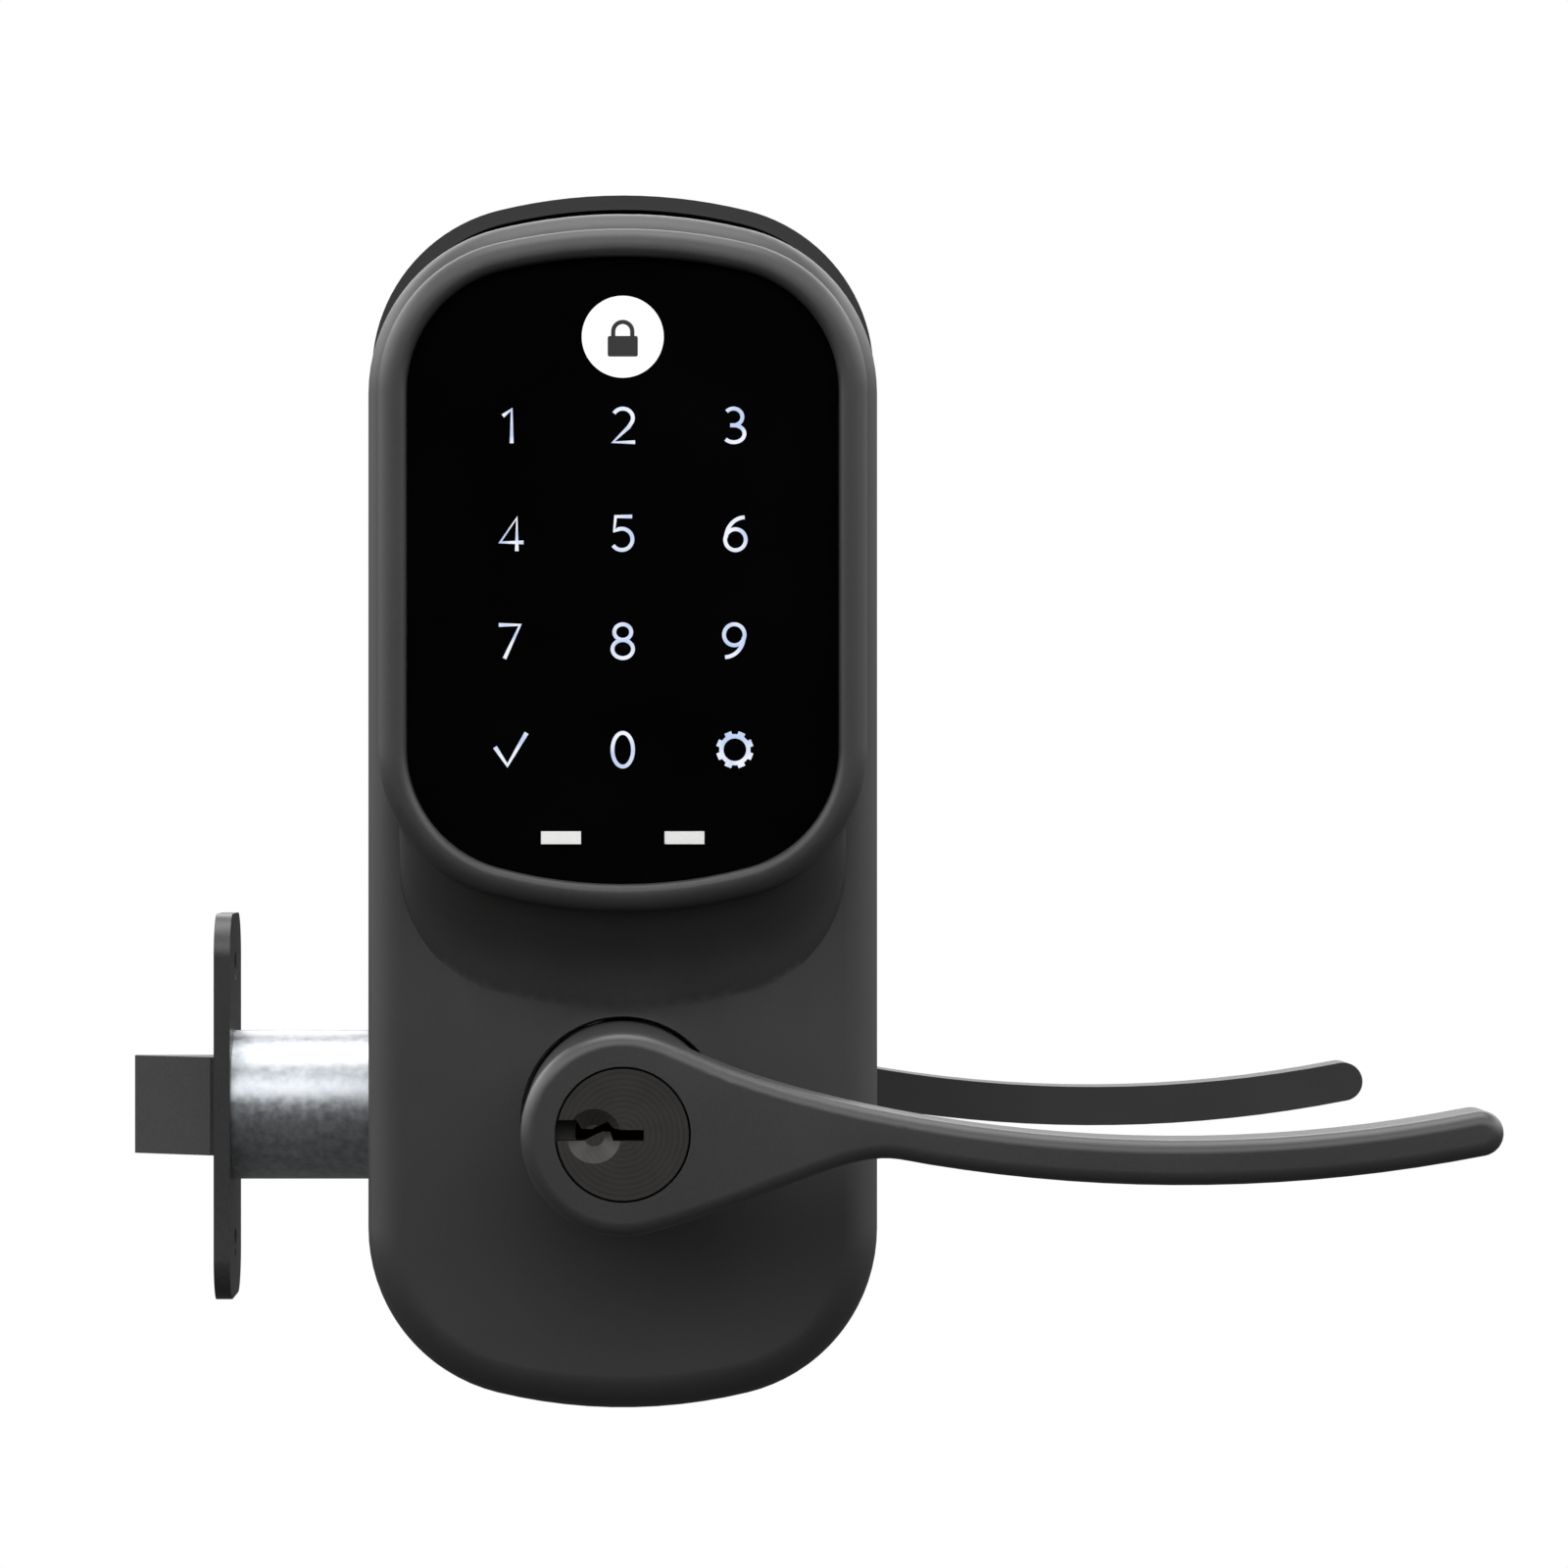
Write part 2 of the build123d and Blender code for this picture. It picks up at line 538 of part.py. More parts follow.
# steel tube behind the faceplate, opening into a flat case round the hub
with BuildPart() as latch_case:
    disc(edge_plane(TUBE_END), TUBE_R, TUBE_END - EDGE - FACEPLATE_T)
    disc(edge_plane(TUBE_END), TUBE_BORE_R, 40.0, mode=Mode.SUBTRACT)
    block(edge_plane(CASE_END), CASE_DEEP, CASE_TALL, CASE_END - TUBE_END)
    block(
        edge_plane(CASE_END - CASE_WALL),
        CASE_DEEP - 2 * CASE_WALL,
        CASE_TALL - 2 * CASE_WALL,
        CASE_END - TUBE_END - 2 * CASE_WALL,
        mode=Mode.SUBTRACT,
    )
    block(edge_plane(-20.0), 5.0, 8.0, 4.0, [(18.4 - BORE_MID, -7.0)], Mode.SUBTRACT)
    disc(inner(-DOOR), 7.0 + FIT, DOOR, mode=Mode.SUBTRACT)
save(latch_case, "latch_case")

# bevelled bolt with the tail that the hub's cam pulls
with BuildPart() as latch_bolt:
    with BuildSketch(Plane.XY.offset(-BOLT_TALL / 2)):
        Polygon(
            (EDGE - THROW, BOLT_FAR),
            (EDGE - THROW, BOLT_FAR - 2.0),
            (EDGE - 1.0, BOLT_NEAR),
            (-46.0, BOLT_NEAR),
            (-46.0, BOLT_FAR),
            align=None,
        )
    extrude(amount=BOLT_TALL)
    with BuildSketch(Plane.XZ.offset(-17.0)):
        Polygon(
            (-46.5, 4.8),
            (-46.5, 7.3),
            (-21.5, 7.9),
            (-21.5, 10.2),
            (5.0, 10.2),
            (5.0, 7.7),
            (-18.5, 7.7),
            (-18.5, 4.8),
            align=None,
        )
    extrude(amount=-2.8)
    with BuildSketch(Plane.XZ.offset(-17.0)):
        Polygon((2.7, 7.7), (5.0, 7.7), (5.0, 10.2), (2.7, 10.2), align=None)
    extrude(amount=-7.3)
save(latch_bolt, "latch_bolt")

PLUNGER_MID = (PLUNGER_NEAR + PLUNGER_FAR) / 2 - BORE_MID
with BuildPart() as deadlatch_plunger:
    block(edge_plane(-50.0), PLUNGER_FAR - PLUNGER_NEAR, 8.0, BACKSET + THROW - 50.6, [(PLUNGER_MID, 0)])
    fillet(deadlatch_plunger.edges().filter_by(Axis.X).sort_by(Axis.Y)[-2:], 3.0)
save(deadlatch_plunger, "deadlatch_plunger")

with BuildPart() as latch_spring:
    with BuildLine():
        coil = Helix(3.1, 21.7, 2.9, center=(-23.6, 21.2, -1.9), direction=(-1, 0, 0))
    with BuildSketch(Plane(origin=coil @ 0, z_dir=coil % 0)):
        Circle(0.4)
    sweep(path=coil, is_frenet=True)
save(latch_spring, "latch_spring")

# hub with a cam; the square spindle passes through it
with BuildPart() as latch_hub:
    disc(inner(14.4 - DOOR), 7.0, 15.7)
    block(inner(20.3 - DOOR), 4.0, 6.0, 4.0, [(0, 7.4)])
    block(inner(14.4 - DOOR), SPINDLE + 0.2, SPINDLE + 0.2, 15.7, mode=Mode.SUBTRACT)
save(latch_hub, "latch_hub")

# ---- through the door -----------------------------------------------------------------------------
with BuildPart() as spindle:
    block(outer(22.0), SPINDLE, SPINDLE, -(DOOR + 44.0))
    disc(outer(22.0), SPINDLE_BORE_R, -(DOOR + 44.0), mode=Mode.SUBTRACT)
save(spindle, "spindle")

INSIDE_BOLTS = [(-x, z) for x, z in BOLT_PLACES]
with BuildPart() as through_bolts:
    disc(inner(2.1), 4.4, 2.6, INSIDE_BOLTS)
    disc(inner(2.1), 2.4, -(DOOR + 12.0), INSIDE_BOLTS)
    block(inner(3.4), 1.2, 5.2, 2.0, INSIDE_BOLTS, Mode.SUBTRACT)
save(through_bolts, "through_bolts")

LEAD_R = 1.9
with BuildPart() as harness_lead:
    with BuildLine() as route:
        FilletPolyline(
            (LEAD_X, -14.0, 38.0),
            (LEAD_X, -10.0, 38.0),
            (LEAD_X, -10.0, LEAD_Z),
            (LEAD_X, DOOR + 9.2, LEAD_Z),
            (LEAD_X, DOOR + 9.2, 56.0),
            radius=(3.6, 6.0, 6.0),
        )
    with BuildSketch(Plane(origin=route.line @ 0, z_dir=route.line % 0)):
        Circle(LEAD_R)
    sweep(path=route.line)
save(harness_lead, "harness_lead")

with BuildPart() as harness_plugs:
    block(outer(14.0), 8.0, 6.0, 3.8, [(LEAD_X, 38.5)])
    block(inner(6.9), 8.0, 6.0, 4.6, [(-LEAD_X, 59.0)])
save(harness_plugs, "harness_plugs")

# ---- inside half: mounting plate, bearing and casting -----------------------------------------------
HOUSING_SCREWS = [(-25.0, 47.0), (25.0, 47.0)]
STANDOFFS = [(x, z) for x in (-23.0, 23.0) for z in (57.0, 122.0)]
HOLE_IN_R = 15.8

# steel plate clamped to the door by the through bolts
with BuildPart() as mounting_plate:
    with BuildSketch(inner(0)):
        inside_outline(3.4)
    extrude(amount=2.0)
    disc(inner(2.0), NECK_R, 7.4)
    disc(inner(2.0), 2.4, 3.0, STANDOFFS)
    disc(inner(0), BUSH_R + 0.05, 10.0, mode=Mode.SUBTRACT)
    disc(inner(0), 2.6, 2.0, INSIDE_BOLTS, Mode.SUBTRACT)
    disc(inner(0), 1.2, 6.0, STANDOFFS, Mode.SUBTRACT)
    disc(inner(0), 1.6, 2.0, HOUSING_SCREWS, Mode.SUBTRACT)
    disc(inner(0), 11.6, 4.0, mode=Mode.SUBTRACT)
    disc(inner(0), 3.2, 2.0, [(-LEAD_X, LEAD_Z)], Mode.SUBTRACT)
save(mounting_plate, "mounting_plate")

save(bearing_bush(inner(BUSH_AT)), "inner_bush")
save(return_spring(inner(SPRING_AT)), "inner_return_spring")


def edge_arc(drop):
    """Adds to the sketch all that lies above the cover's bottom edge, lowered by drop."""
    crown = COVER_EDGE - drop
    half = IN_WIDTH / 2 + 3.0
    rise = half**2 / (2 * COVER_EDGE_R)
    with BuildLine() as edge:
        ThreePointArc((-half, crown + rise), (0, crown), (half, crown + rise))
        Polyline((half, crown + rise), (half, 160.0), (-half, 160.0), (-half, crown + rise))
    make_face(edge.edges())


COVE_FOOT, COVE_TOP = 16.3, COVER_EDGE - 0.3 - RIDGE_TALL
COVE_RUN, COVE_RISE = COVE_TOP - COVE_FOOT, RIDGE_FACE - IN_FACE
COVE_R = (COVE_RUN**2 + COVE_RISE**2) / (2 * COVE_RISE)
COVE_HALF = asin(COVE_RUN / COVE_R) / 2

# black die-cast lower housing: a panel that sweeps up in a cove to a ridge under the battery cover
with BuildPart() as ridge:
    with BuildSketch(inner(0)):
        inside_outline()
    extrude(amount=RIDGE_FACE)
    fillet(ridge.faces().sort_by(Axis.Y)[-1].edges(), 4.5)
    with BuildSketch(Plane.YZ.offset(-IN_WIDTH)) as in_front:
        with BuildLine():
            ThreePointArc(
                (DOOR + IN_FACE, COVE_FOOT),
                (
                    DOOR + IN_FACE + COVE_R * (1 - cos(COVE_HALF)),
                    COVE_FOOT + COVE_R * sin(COVE_HALF),
                ),
                (DOOR + RIDGE_FACE, COVE_TOP),
            )
            Polyline(
                (DOOR + RIDGE_FACE, COVE_TOP),
                (DOOR + RIDGE_FACE + 1.0, COVE_TOP),
                (DOOR + RIDGE_FACE + 1.0, IN_LOW - 1.0),
                (DOOR - 1.0, IN_LOW - 1.0),
                (DOOR - 1.0, COVE_FOOT),
                (DOOR + IN_FACE, COVE_FOOT),
            )
        make_face()
    extrude(amount=2 * IN_WIDTH, mode=Mode.SUBTRACT)

with BuildPart() as inner_escutcheon:
    with BuildSketch(inner(0)):
        inside_outline()
    extrude(amount=IN_FACE)
    fillet(inner_escutcheon.faces().sort_by(Axis.Y)[-1].edges(), 4.5)
    add(ridge.part)
    with BuildSketch(inner(0)):
        inside_outline(WALL)
    extrude(amount=IN_FACE - WALL, mode=Mode.SUBTRACT)
    block(inner(0), IN_WIDTH - 2 * WALL, 30.0, RIDGE_FACE - WALL, [(0, COVE_TOP + 15.0)], Mode.SUBTRACT)
    block(inner(2.1), IN_WIDTH - 2 * WALL + 0.4, 5.0, 2.0, [(0, 38.0)])
    with BuildSketch(inner(0)):
        edge_arc(0.3)
    extrude(amount=RIDGE_FACE, mode=Mode.SUBTRACT)
    block(inner(2.1), 62.0, 14.0, 2.0, [(0, 45.0)])
    disc(inner(0), HOLE_IN_R, RIDGE_FACE, mode=Mode.SUBTRACT)
    disc(inner(2.0), 1.7, 3.0, HOUSING_SCREWS, Mode.SUBTRACT)
save(inner_escutcheon, "inner_escutcheon")

with BuildPart() as housing_screws:
    disc(inner(4.15), 3.0, 2.0, HOUSING_SCREWS)
    disc(inner(0.2), 1.55, 4.0, HOUSING_SCREWS)
    block(inner(5.2), 0.9, 3.6, 1.0, HOUSING_SCREWS, Mode.SUBTRACT)
save(housing_screws, "housing_screws")

# ---- inside half: electronics and batteries -----------------------------------------------------------
CELL_R, CELL_LONG, CELL_H, CELL_LOW = 7.1, 48.6, 22.6, 64.0
CELL_X = (-22.5, -7.5, 7.5, 22.5)
TRAY_LOW, TRAY_HIGH, TRAY_HALF = 60.0, 118.0, 31.8
BOARD_H = 5.0

with BuildPart() as control_board:
    block(inner(BOARD_H), 54.0, 72.0, 1.6, [(0, 90.0)])
    disc(inner(BOARD_H), 1.3, 2.0, STANDOFFS, Mode.SUBTRACT)
    block(inner(BOARD_H + 1.5), 12.0, 12.0, 1.6, [(0, 88.0)])
    block(inner(BOARD_H + 1.5), 5.0, 8.0, 2.0, [(-18.0, 96.0), (-18.0, 78.0), (18.0, 76.0)])
save(control_board, "control_board")

with BuildPart() as board_screws:
    disc(inner(BOARD_H + 1.65), 2.3, 1.6, STANDOFFS)
    disc(inner(1.0), 1.15, 5.8, STANDOFFS)
    block(inner(BOARD_H + 2.4), 0.8, 2.8, 1.0, STANDOFFS, Mode.SUBTRACT)
save(board_screws, "board_screws")

with BuildPart() as radio_module:
    block(inner(BOARD_H + 1.7), 18.0, 20.0, 3.4, [(14.0, 108.0)])
    block(inner(BOARD_H + 5.1), 14.0, 12.0, 0.8, [(14.0, 106.0)])
save(radio_module, "radio_module")

RESET_AT = [(14.0, 129.5)]  # the reset button stands above the board, seen from inside
with BuildPart() as reset_switch:
    block(inner(2.1), 7.0, 7.0, 6.0, RESET_AT)
    disc(inner(5.0), 1.9, 4.0, RESET_AT, Mode.SUBTRACT)
save(reset_switch, "reset_switch")

with BuildPart() as reset_button:
    disc(inner(6.2), 1.6, 4.4, RESET_AT)
save(reset_button, "reset_button")

TRAY_TALL, TRAY_MID = TRAY_HIGH - TRAY_LOW, (TRAY_HIGH + TRAY_LOW) / 2
TRAY_FEET = [(x, z) for x in (-30.4, 30.4) for z in (66.0, 112.0)]
COVER_SCREW_AT = [(0, DOOR + 20.0)]  # the cover's screw points down through its top wall

# moulded tray: an open box for the four cells, on four feet, with a post that takes the cover's screw
with BuildPart() as battery_tray:
    block(inner(13.0), 2 * TRAY_HALF, TRAY_TALL, 14.0, [(0, TRAY_MID)])
    block(inner(14.6), 2 * TRAY_HALF - 3.0, TRAY_TALL - 3.0, 14.0, [(0, TRAY_MID)], Mode.SUBTRACT)
    block(inner(14.0), 0.6, TRAY_TALL - 1.0, 4.0, [(x, TRAY_MID) for x in (-15.0, 0.0, 15.0)])
    disc(inner(2.05), 2.6, 11.5, TRAY_FEET)
    block(inner(17.0), 8.0, 16.0, 6.0, [(0, TRAY_HIGH + 7.5)])
    disc(Plane.XY.offset(TRAY_HIGH), 1.5, 20.0, COVER_SCREW_AT, Mode.SUBTRACT)
save(battery_tray, "battery_tray")

with BuildPart() as batteries:
    for index, x in enumerate(CELL_X):
        up = index % 2 == 0
        base = CELL_LOW if up else CELL_LOW + 1.4
        with BuildSketch(Plane(origin=(x, DOOR + CELL_H, base))):
            Circle(CELL_R)
        extrude(amount=CELL_LONG)
        nub_z = base + CELL_LONG if up else base - 1.4
        with BuildSketch(Plane(origin=(x, DOOR + CELL_H, nub_z))):
            Circle(2.6)
        extrude(amount=1.4)
save(batteries, "batteries")

with BuildPart() as battery_contacts:
    for z in (TRAY_LOW + 1.6, TRAY_HIGH - 2.0):
        for x in CELL_X:
            with BuildSketch(Plane(origin=(x, DOOR + CELL_H - 1.0, z))):
                Rectangle(9.0, 9.0)
            extrude(amount=0.4)
save(battery_contacts, "battery_contacts")

with BuildPart() as cell_springs:
    for index, x in enumerate(CELL_X):
        up = index % 2 == 0
        start = TRAY_LOW + 2.05 if up else CELL_LOW + 1.4 + CELL_LONG + 0.05
        length = CELL_LOW - 0.05 - start if up else TRAY_HIGH - 2.05 - start
        with BuildSketch(Plane(origin=(x, DOOR + CELL_H - 1.0, start))):
            Circle(3.4)
            Circle(2.6, mode=Mode.SUBTRACT)
        extrude(amount=length)
save(cell_springs, "cell_springs")

# black ABS battery cover: slides up off the lock once its screw is out
NOTCH_HALF = 17.6
with BuildPart() as battery_cover:
    with BuildSketch(inner(2.2)):
        inside_outline()
    extrude(amount=COVER_FACE - 2.2)
    fillet(battery_cover.faces().sort_by(Axis.Y)[-1].edges(), 5.5)
    with BuildSketch(inner(0)):
        edge_arc(0)
    extrude(amount=COVER_FACE, mode=Mode.INTERSECT)
    with BuildSketch(inner(0)):
        inside_outline(COVER_WALL)
    extrude(amount=COVER_FACE - COVER_WALL, mode=Mode.SUBTRACT)
    with BuildSketch(inner(20.0)):
        Polygon(
            (-NOTCH_HALF, 40.0),
            (NOTCH_HALF, 40.0),
            (NOTCH_HALF - 1.0, 43.4),
            (NOTCH_HALF - 2.4, 44.4),
            (2.4 - NOTCH_HALF, 44.4),
            (1.0 - NOTCH_HALF, 43.4),
            align=None,
        )
    extrude(amount=20.0, mode=Mode.SUBTRACT)
    disc(Plane.XY.offset(IN_HIGH - 1.4), 3.0, 3.0, COVER_SCREW_AT, Mode.SUBTRACT)
    disc(Plane.XY.offset(IN_HIGH - 6.0), 1.6, 8.0, COVER_SCREW_AT, Mode.SUBTRACT)
save(battery_cover, "battery_cover")

with BuildPart() as cover_screw:
    disc(Plane.XY.offset(IN_HIGH - 1.3), 2.7, 1.5, COVER_SCREW_AT)
    disc(Plane.XY.offset(IN_HIGH - 9.0), 1.4, 8.0, COVER_SCREW_AT)
    block(Plane.XY.offset(IN_HIGH - 0.5), 3.6, 0.8, 1.0, COVER_SCREW_AT, Mode.SUBTRACT)
save(cover_screw, "cover_screw")

# white bar seen in the cover's finger notch
with BuildPart() as notch_bar:
    with BuildSketch(inner(30.0)):
        Polygon(
            (-16.8, 41.9),
            (16.8, 41.9),
            (16.2, 43.3),
            (15.0, 44.0),
            (-15.0, 44.0),
            (-16.2, 43.3),
            align=None,
        )
    extrude(amount=5.2)
save(notch_bar, "notch_bar")

# ---- inside lever and turn button -------------------------------------------------------------------
with BuildPart() as inner_lever:
    mirror(lever_blank.part, about=Plane.XZ.offset(-BORE_MID))
    disc(inner(DRUM_REAR), HEAD_R + 0.7, 15.0)
    disc(inner(DRUM_REAR), HEAD_BORE_R, 15.0, mode=Mode.SUBTRACT)
    disc(inner(50.0), BUTTON_R + 0.55, 12.0, mode=Mode.SUBTRACT)
save(inner_lever, "inner_lever")
save(lever_hub(inner), "inner_hub")
save(retaining_ring(inner), "inner_retaining_ring")

GRIP_W = 5.7
with BuildPart() as turn_button:
    disc(inner(55.6), BUTTON_R, 3.2)
    fillet(turn_button.faces().sort_by(Axis.Y)[-1].edges(), 0.5)
    with BuildSketch(inner(58.0)):
        RectangleRounded(GRIP_W, 2 * BUTTON_R - 0.5, 1.5)
    extrude(amount=3.4)
    fillet(turn_button.faces().sort_by(Axis.Y)[-1].edges(), 0.7)
save(turn_button, "turn_button")

with BuildPart() as button_shaft:
    disc(inner(52.0), 6.4, 3.55)
    disc(inner(-18.0), 2.2, 70.5)
save(button_shaft, "button_shaft")
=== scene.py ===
"""Looks of the keypad lever lock: metres, +Z up, origin on the spindle axis at the door's outside face.

The outside half is at negative Y, the inside half beyond the door's 44.5 mm, and the latch at negative X.
"""

import json
from math import cos, pi, radians, sin

import bmesh
import bpy
from mathutils import Matrix, Vector

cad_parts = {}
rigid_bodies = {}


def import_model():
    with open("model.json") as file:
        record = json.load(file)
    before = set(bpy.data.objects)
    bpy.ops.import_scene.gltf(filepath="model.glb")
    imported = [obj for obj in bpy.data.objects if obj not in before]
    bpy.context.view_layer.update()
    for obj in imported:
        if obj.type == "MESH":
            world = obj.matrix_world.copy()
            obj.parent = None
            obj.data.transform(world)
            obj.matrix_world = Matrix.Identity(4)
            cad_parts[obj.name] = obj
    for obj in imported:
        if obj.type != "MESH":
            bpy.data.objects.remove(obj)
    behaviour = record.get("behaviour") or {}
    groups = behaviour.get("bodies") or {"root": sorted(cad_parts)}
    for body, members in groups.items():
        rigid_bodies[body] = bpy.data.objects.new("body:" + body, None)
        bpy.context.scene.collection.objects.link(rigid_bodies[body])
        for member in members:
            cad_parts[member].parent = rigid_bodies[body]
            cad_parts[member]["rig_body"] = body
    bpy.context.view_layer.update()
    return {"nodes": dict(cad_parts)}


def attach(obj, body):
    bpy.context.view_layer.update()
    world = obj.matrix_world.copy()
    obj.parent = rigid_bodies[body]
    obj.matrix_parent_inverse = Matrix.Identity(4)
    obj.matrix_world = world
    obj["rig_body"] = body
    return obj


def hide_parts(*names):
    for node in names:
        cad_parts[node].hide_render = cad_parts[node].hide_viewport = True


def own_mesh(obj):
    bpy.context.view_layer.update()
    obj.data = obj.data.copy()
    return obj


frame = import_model()

# ---- studio -------------------------------------------------------------------------------------
# A white sweep seen square on from the outside. A soft box overhead, one at each side and a broad
# one round the camera light it; straight ahead it stays dark, so that the glass shows black.
CAMERA_BACK = 0.85
CAMERA_HIGH = 0.0439
VIEW_WIDTH = 0.2285  # width that the picture takes in at the door
VIEW_MIDDLE = (0.0235, 0.0478)
SENSOR = 36.0
FLOOR_LOW = -0.16
FLOOR_SIZE = 6.0
WHITE = (1, 1, 1, 1)

# each soft box, as a stretch of one axis of the direction looked in, and its strength at either end
OVERHEAD_LIGHT = ((0.86, 0.985), (0.0, 4.4))
RIGHT_LIGHT = ((0.62, 0.88), (0.0, 0.55))
LEFT_LIGHT = ((0.62, 0.88), (0.0, 1.1))
CAMERA_LIGHT = ((0.955, 0.99), (3.6, 0.02))
CAMERA_LIGHT_FOOT = ((0.02, 0.55), (0.06, 1.0))
CAMERA_LIGHT_TOP = ((0.50, 0.82), (1.0, 0.25))


def linear(colour):
    """Linear colour, alpha 1, of an sRGB hex value such as '#2a2b2c'."""
    parts = [int(colour[i : i + 2], 16) / 255 for i in (1, 3, 5)]
    return [p / 12.92 if p <= 0.04045 else ((p + 0.055) / 1.055) ** 2.4 for p in parts] + [1.0]


def empty_tree(owner):
    """The node tree of a material or a world, with nothing in it yet."""
    owner.use_nodes = True
    owner.node_tree.nodes.clear()
    return owner.node_tree


def add_node(tree, kind, links=(), **settings):
    """A shader node. Settings name its properties, or its inputs where a property has no such name."""
    made = tree.nodes.new(kind)
    for key, value in settings.items():
        if hasattr(made, key):
            setattr(made, key, value)
        else:
            made.inputs[key.replace("_", " ")].default_value = value
    for source, target in links:
        tree.links.new(source, made.inputs[target])
    return made


def remap(tree, source, span=(0.0, 1.0), values=(0.0, 1.0), easing="LINEAR"):
    """What source says, carried over from one span of values to another."""
    moved = add_node(
        tree, "ShaderNodeMapRange", [(source, 0)], interpolation_type=easing,
        From_Min=span[0], From_Max=span[1], To_Min=values[0], To_Max=values[1],
    )
    return moved.outputs[0]


def reckon(tree, operation, first, second=None):
    """One step of arithmetic on a socket and, where it needs one, another socket or a number."""
    step = add_node(tree, "ShaderNodeMath", [(first, 0)], operation=operation)
    if isinstance(second, float):
        step.inputs[1].default_value = second
    elif second is not None:
        tree.links.new(second, step.inputs[1])
    return step.outputs[0]


def split_for_camera(tree, lit, seen):
    """One shader for the rays that light the lock, and another for what the camera sees behind it."""
    path = add_node(tree, "ShaderNodeLightPath")
    either = add_node(
        tree, "ShaderNodeMixShader",
        [(path.outputs["Is Camera Ray"], 0), (lit.outputs[0], 1), (seen.outputs[0], 2)],
    )
    return either.outputs[0]


def linked(name, data):
    """A new object of that mesh, curve or camera, in the scene."""
    made = bpy.data.objects.new(name, data)
    bpy.context.scene.collection.objects.link(made)
    return made


def mesh_of(work, name):
    """A new mesh of what was built in a bmesh, which is freed."""
    mesh = bpy.data.meshes.new(name)
    work.to_mesh(mesh)
    work.free()
    return mesh


def studio_world():
    """The soft boxes, which only what they light can see; the camera sees plain white."""
    world = bpy.data.worlds.new("studio")
    tree = empty_tree(world)
    place = add_node(tree, "ShaderNodeTexCoord")
    axes = add_node(tree, "ShaderNodeSeparateXYZ", [(place.outputs["Generated"], 0)])
    leftward = reckon(tree, "MULTIPLY", axes.outputs["X"], -1.0)
    ahead = reckon(tree, "ABSOLUTE", axes.outputs["Y"])
    overhead = remap(tree, axes.outputs["Z"], *OVERHEAD_LIGHT, "SMOOTHSTEP")
    right = remap(tree, axes.outputs["X"], *RIGHT_LIGHT, "SMOOTHSTEP")
    left = remap(tree, leftward, *LEFT_LIGHT, "SMOOTHSTEP")
    front = remap(tree, ahead, *CAMERA_LIGHT, "SMOOTHSTEP")
    foot = remap(tree, axes.outputs["Z"], *CAMERA_LIGHT_FOOT, "SMOOTHSTEP")
    top = remap(tree, axes.outputs["Z"], *CAMERA_LIGHT_TOP, "SMOOTHSTEP")
    front = reckon(tree, "MULTIPLY", front, reckon(tree, "MULTIPLY", foot, top))
    sides = reckon(tree, "ADD", left, right)
    light = reckon(tree, "ADD", reckon(tree, "ADD", overhead, front), sides)
    lit = add_node(tree, "ShaderNodeBackground", [(light, "Strength")], Color=WHITE)
    seen = add_node(tree, "ShaderNodeBackground", Color=WHITE, Strength=1.0)
    add_node(tree, "ShaderNodeOutputWorld", [(split_for_camera(tree, lit, seen), 0)])
    return world


def studio_floor():
    """White paper that the camera sees without shadows, and that bounces a little light upwards."""
    work = bmesh.new()
    bmesh.ops.create_grid(work, x_segments=1, y_segments=1, size=FLOOR_SIZE)
    bmesh.ops.translate(work, verts=work.verts, vec=(0, 0, FLOOR_LOW))
    floor = linked("floor", mesh_of(work, "floor"))
    paper = bpy.data.materials.new("white_paper_sweep")
    tree = empty_tree(paper)
    matt = add_node(tree, "ShaderNodeBsdfDiffuse", Color=linear("#3f3f3e"))
    glow = add_node(tree, "ShaderNodeEmission", Color=WHITE, Strength=1.0)
    add_node(tree, "ShaderNodeOutputMaterial", [(split_for_camera(tree, matt, glow), 0)])
    floor.data.materials.append(paper)


bpy.context.scene.world = studio_world()
bpy.context.scene.view_settings.view_transform = "Standard"
studio_floor()

camera = linked("camera", bpy.data.cameras.new("camera"))
camera.location = (0, -CAMERA_BACK, CAMERA_HIGH)
camera.rotation_euler = (pi / 2, 0, 0)
camera.data.sensor_width = SENSOR
camera.data.lens = SENSOR * CAMERA_BACK / VIEW_WIDTH
camera.data.shift_x = VIEW_MIDDLE[0] / VIEW_WIDTH
camera.data.shift_y = (VIEW_MIDDLE[1] - CAMERA_HIGH) / VIEW_WIDTH
bpy.context.scene.camera = camera

# ---- outside casting ----------------------------------------------------------------------------
# Die-cast zinc plate with a raised head round the keypad, finished in satin black powder coat.
# The coat gives a fine orange-peel skin and a soft sheen that brightens on every rounded edge.
MM = 0.001
CREASE = radians(28)
WELD = 1e-6  # corners closer than this many metres are one
FLATNESS = 80  # how much more a large face counts than a small one beside it

CLOUD_SIZE = 22.0  # millimetres across the slow variation that lies under every grain
CLOUD_SHARE = 0.45
GRAIN_ROUGHNESS = 0.55
TINT_SPAN = (0.35, 0.65)
GLOSS_SPAN = (0.3, 0.7)


def finish_piece(mesh, name, body, material, slot, *nodes):
    """Object of a finished mesh with its material and body, which stands for the CAD nodes named; slot is
    not used.
    """
    mesh.materials.clear()
    mesh.materials.append(material)
    piece = linked(name, mesh)
    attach(piece, body)
    if nodes:
        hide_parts(*nodes)
    return piece


def shade(work, crease=CREASE):
    """Smooth shading everywhere but across edges that turn by more than the crease angle."""
    for face in work.faces:
        face.smooth = True
    for edge in work.edges:
        edge.smooth = len(edge.link_faces) == 2 and edge.calc_face_angle(pi) < crease


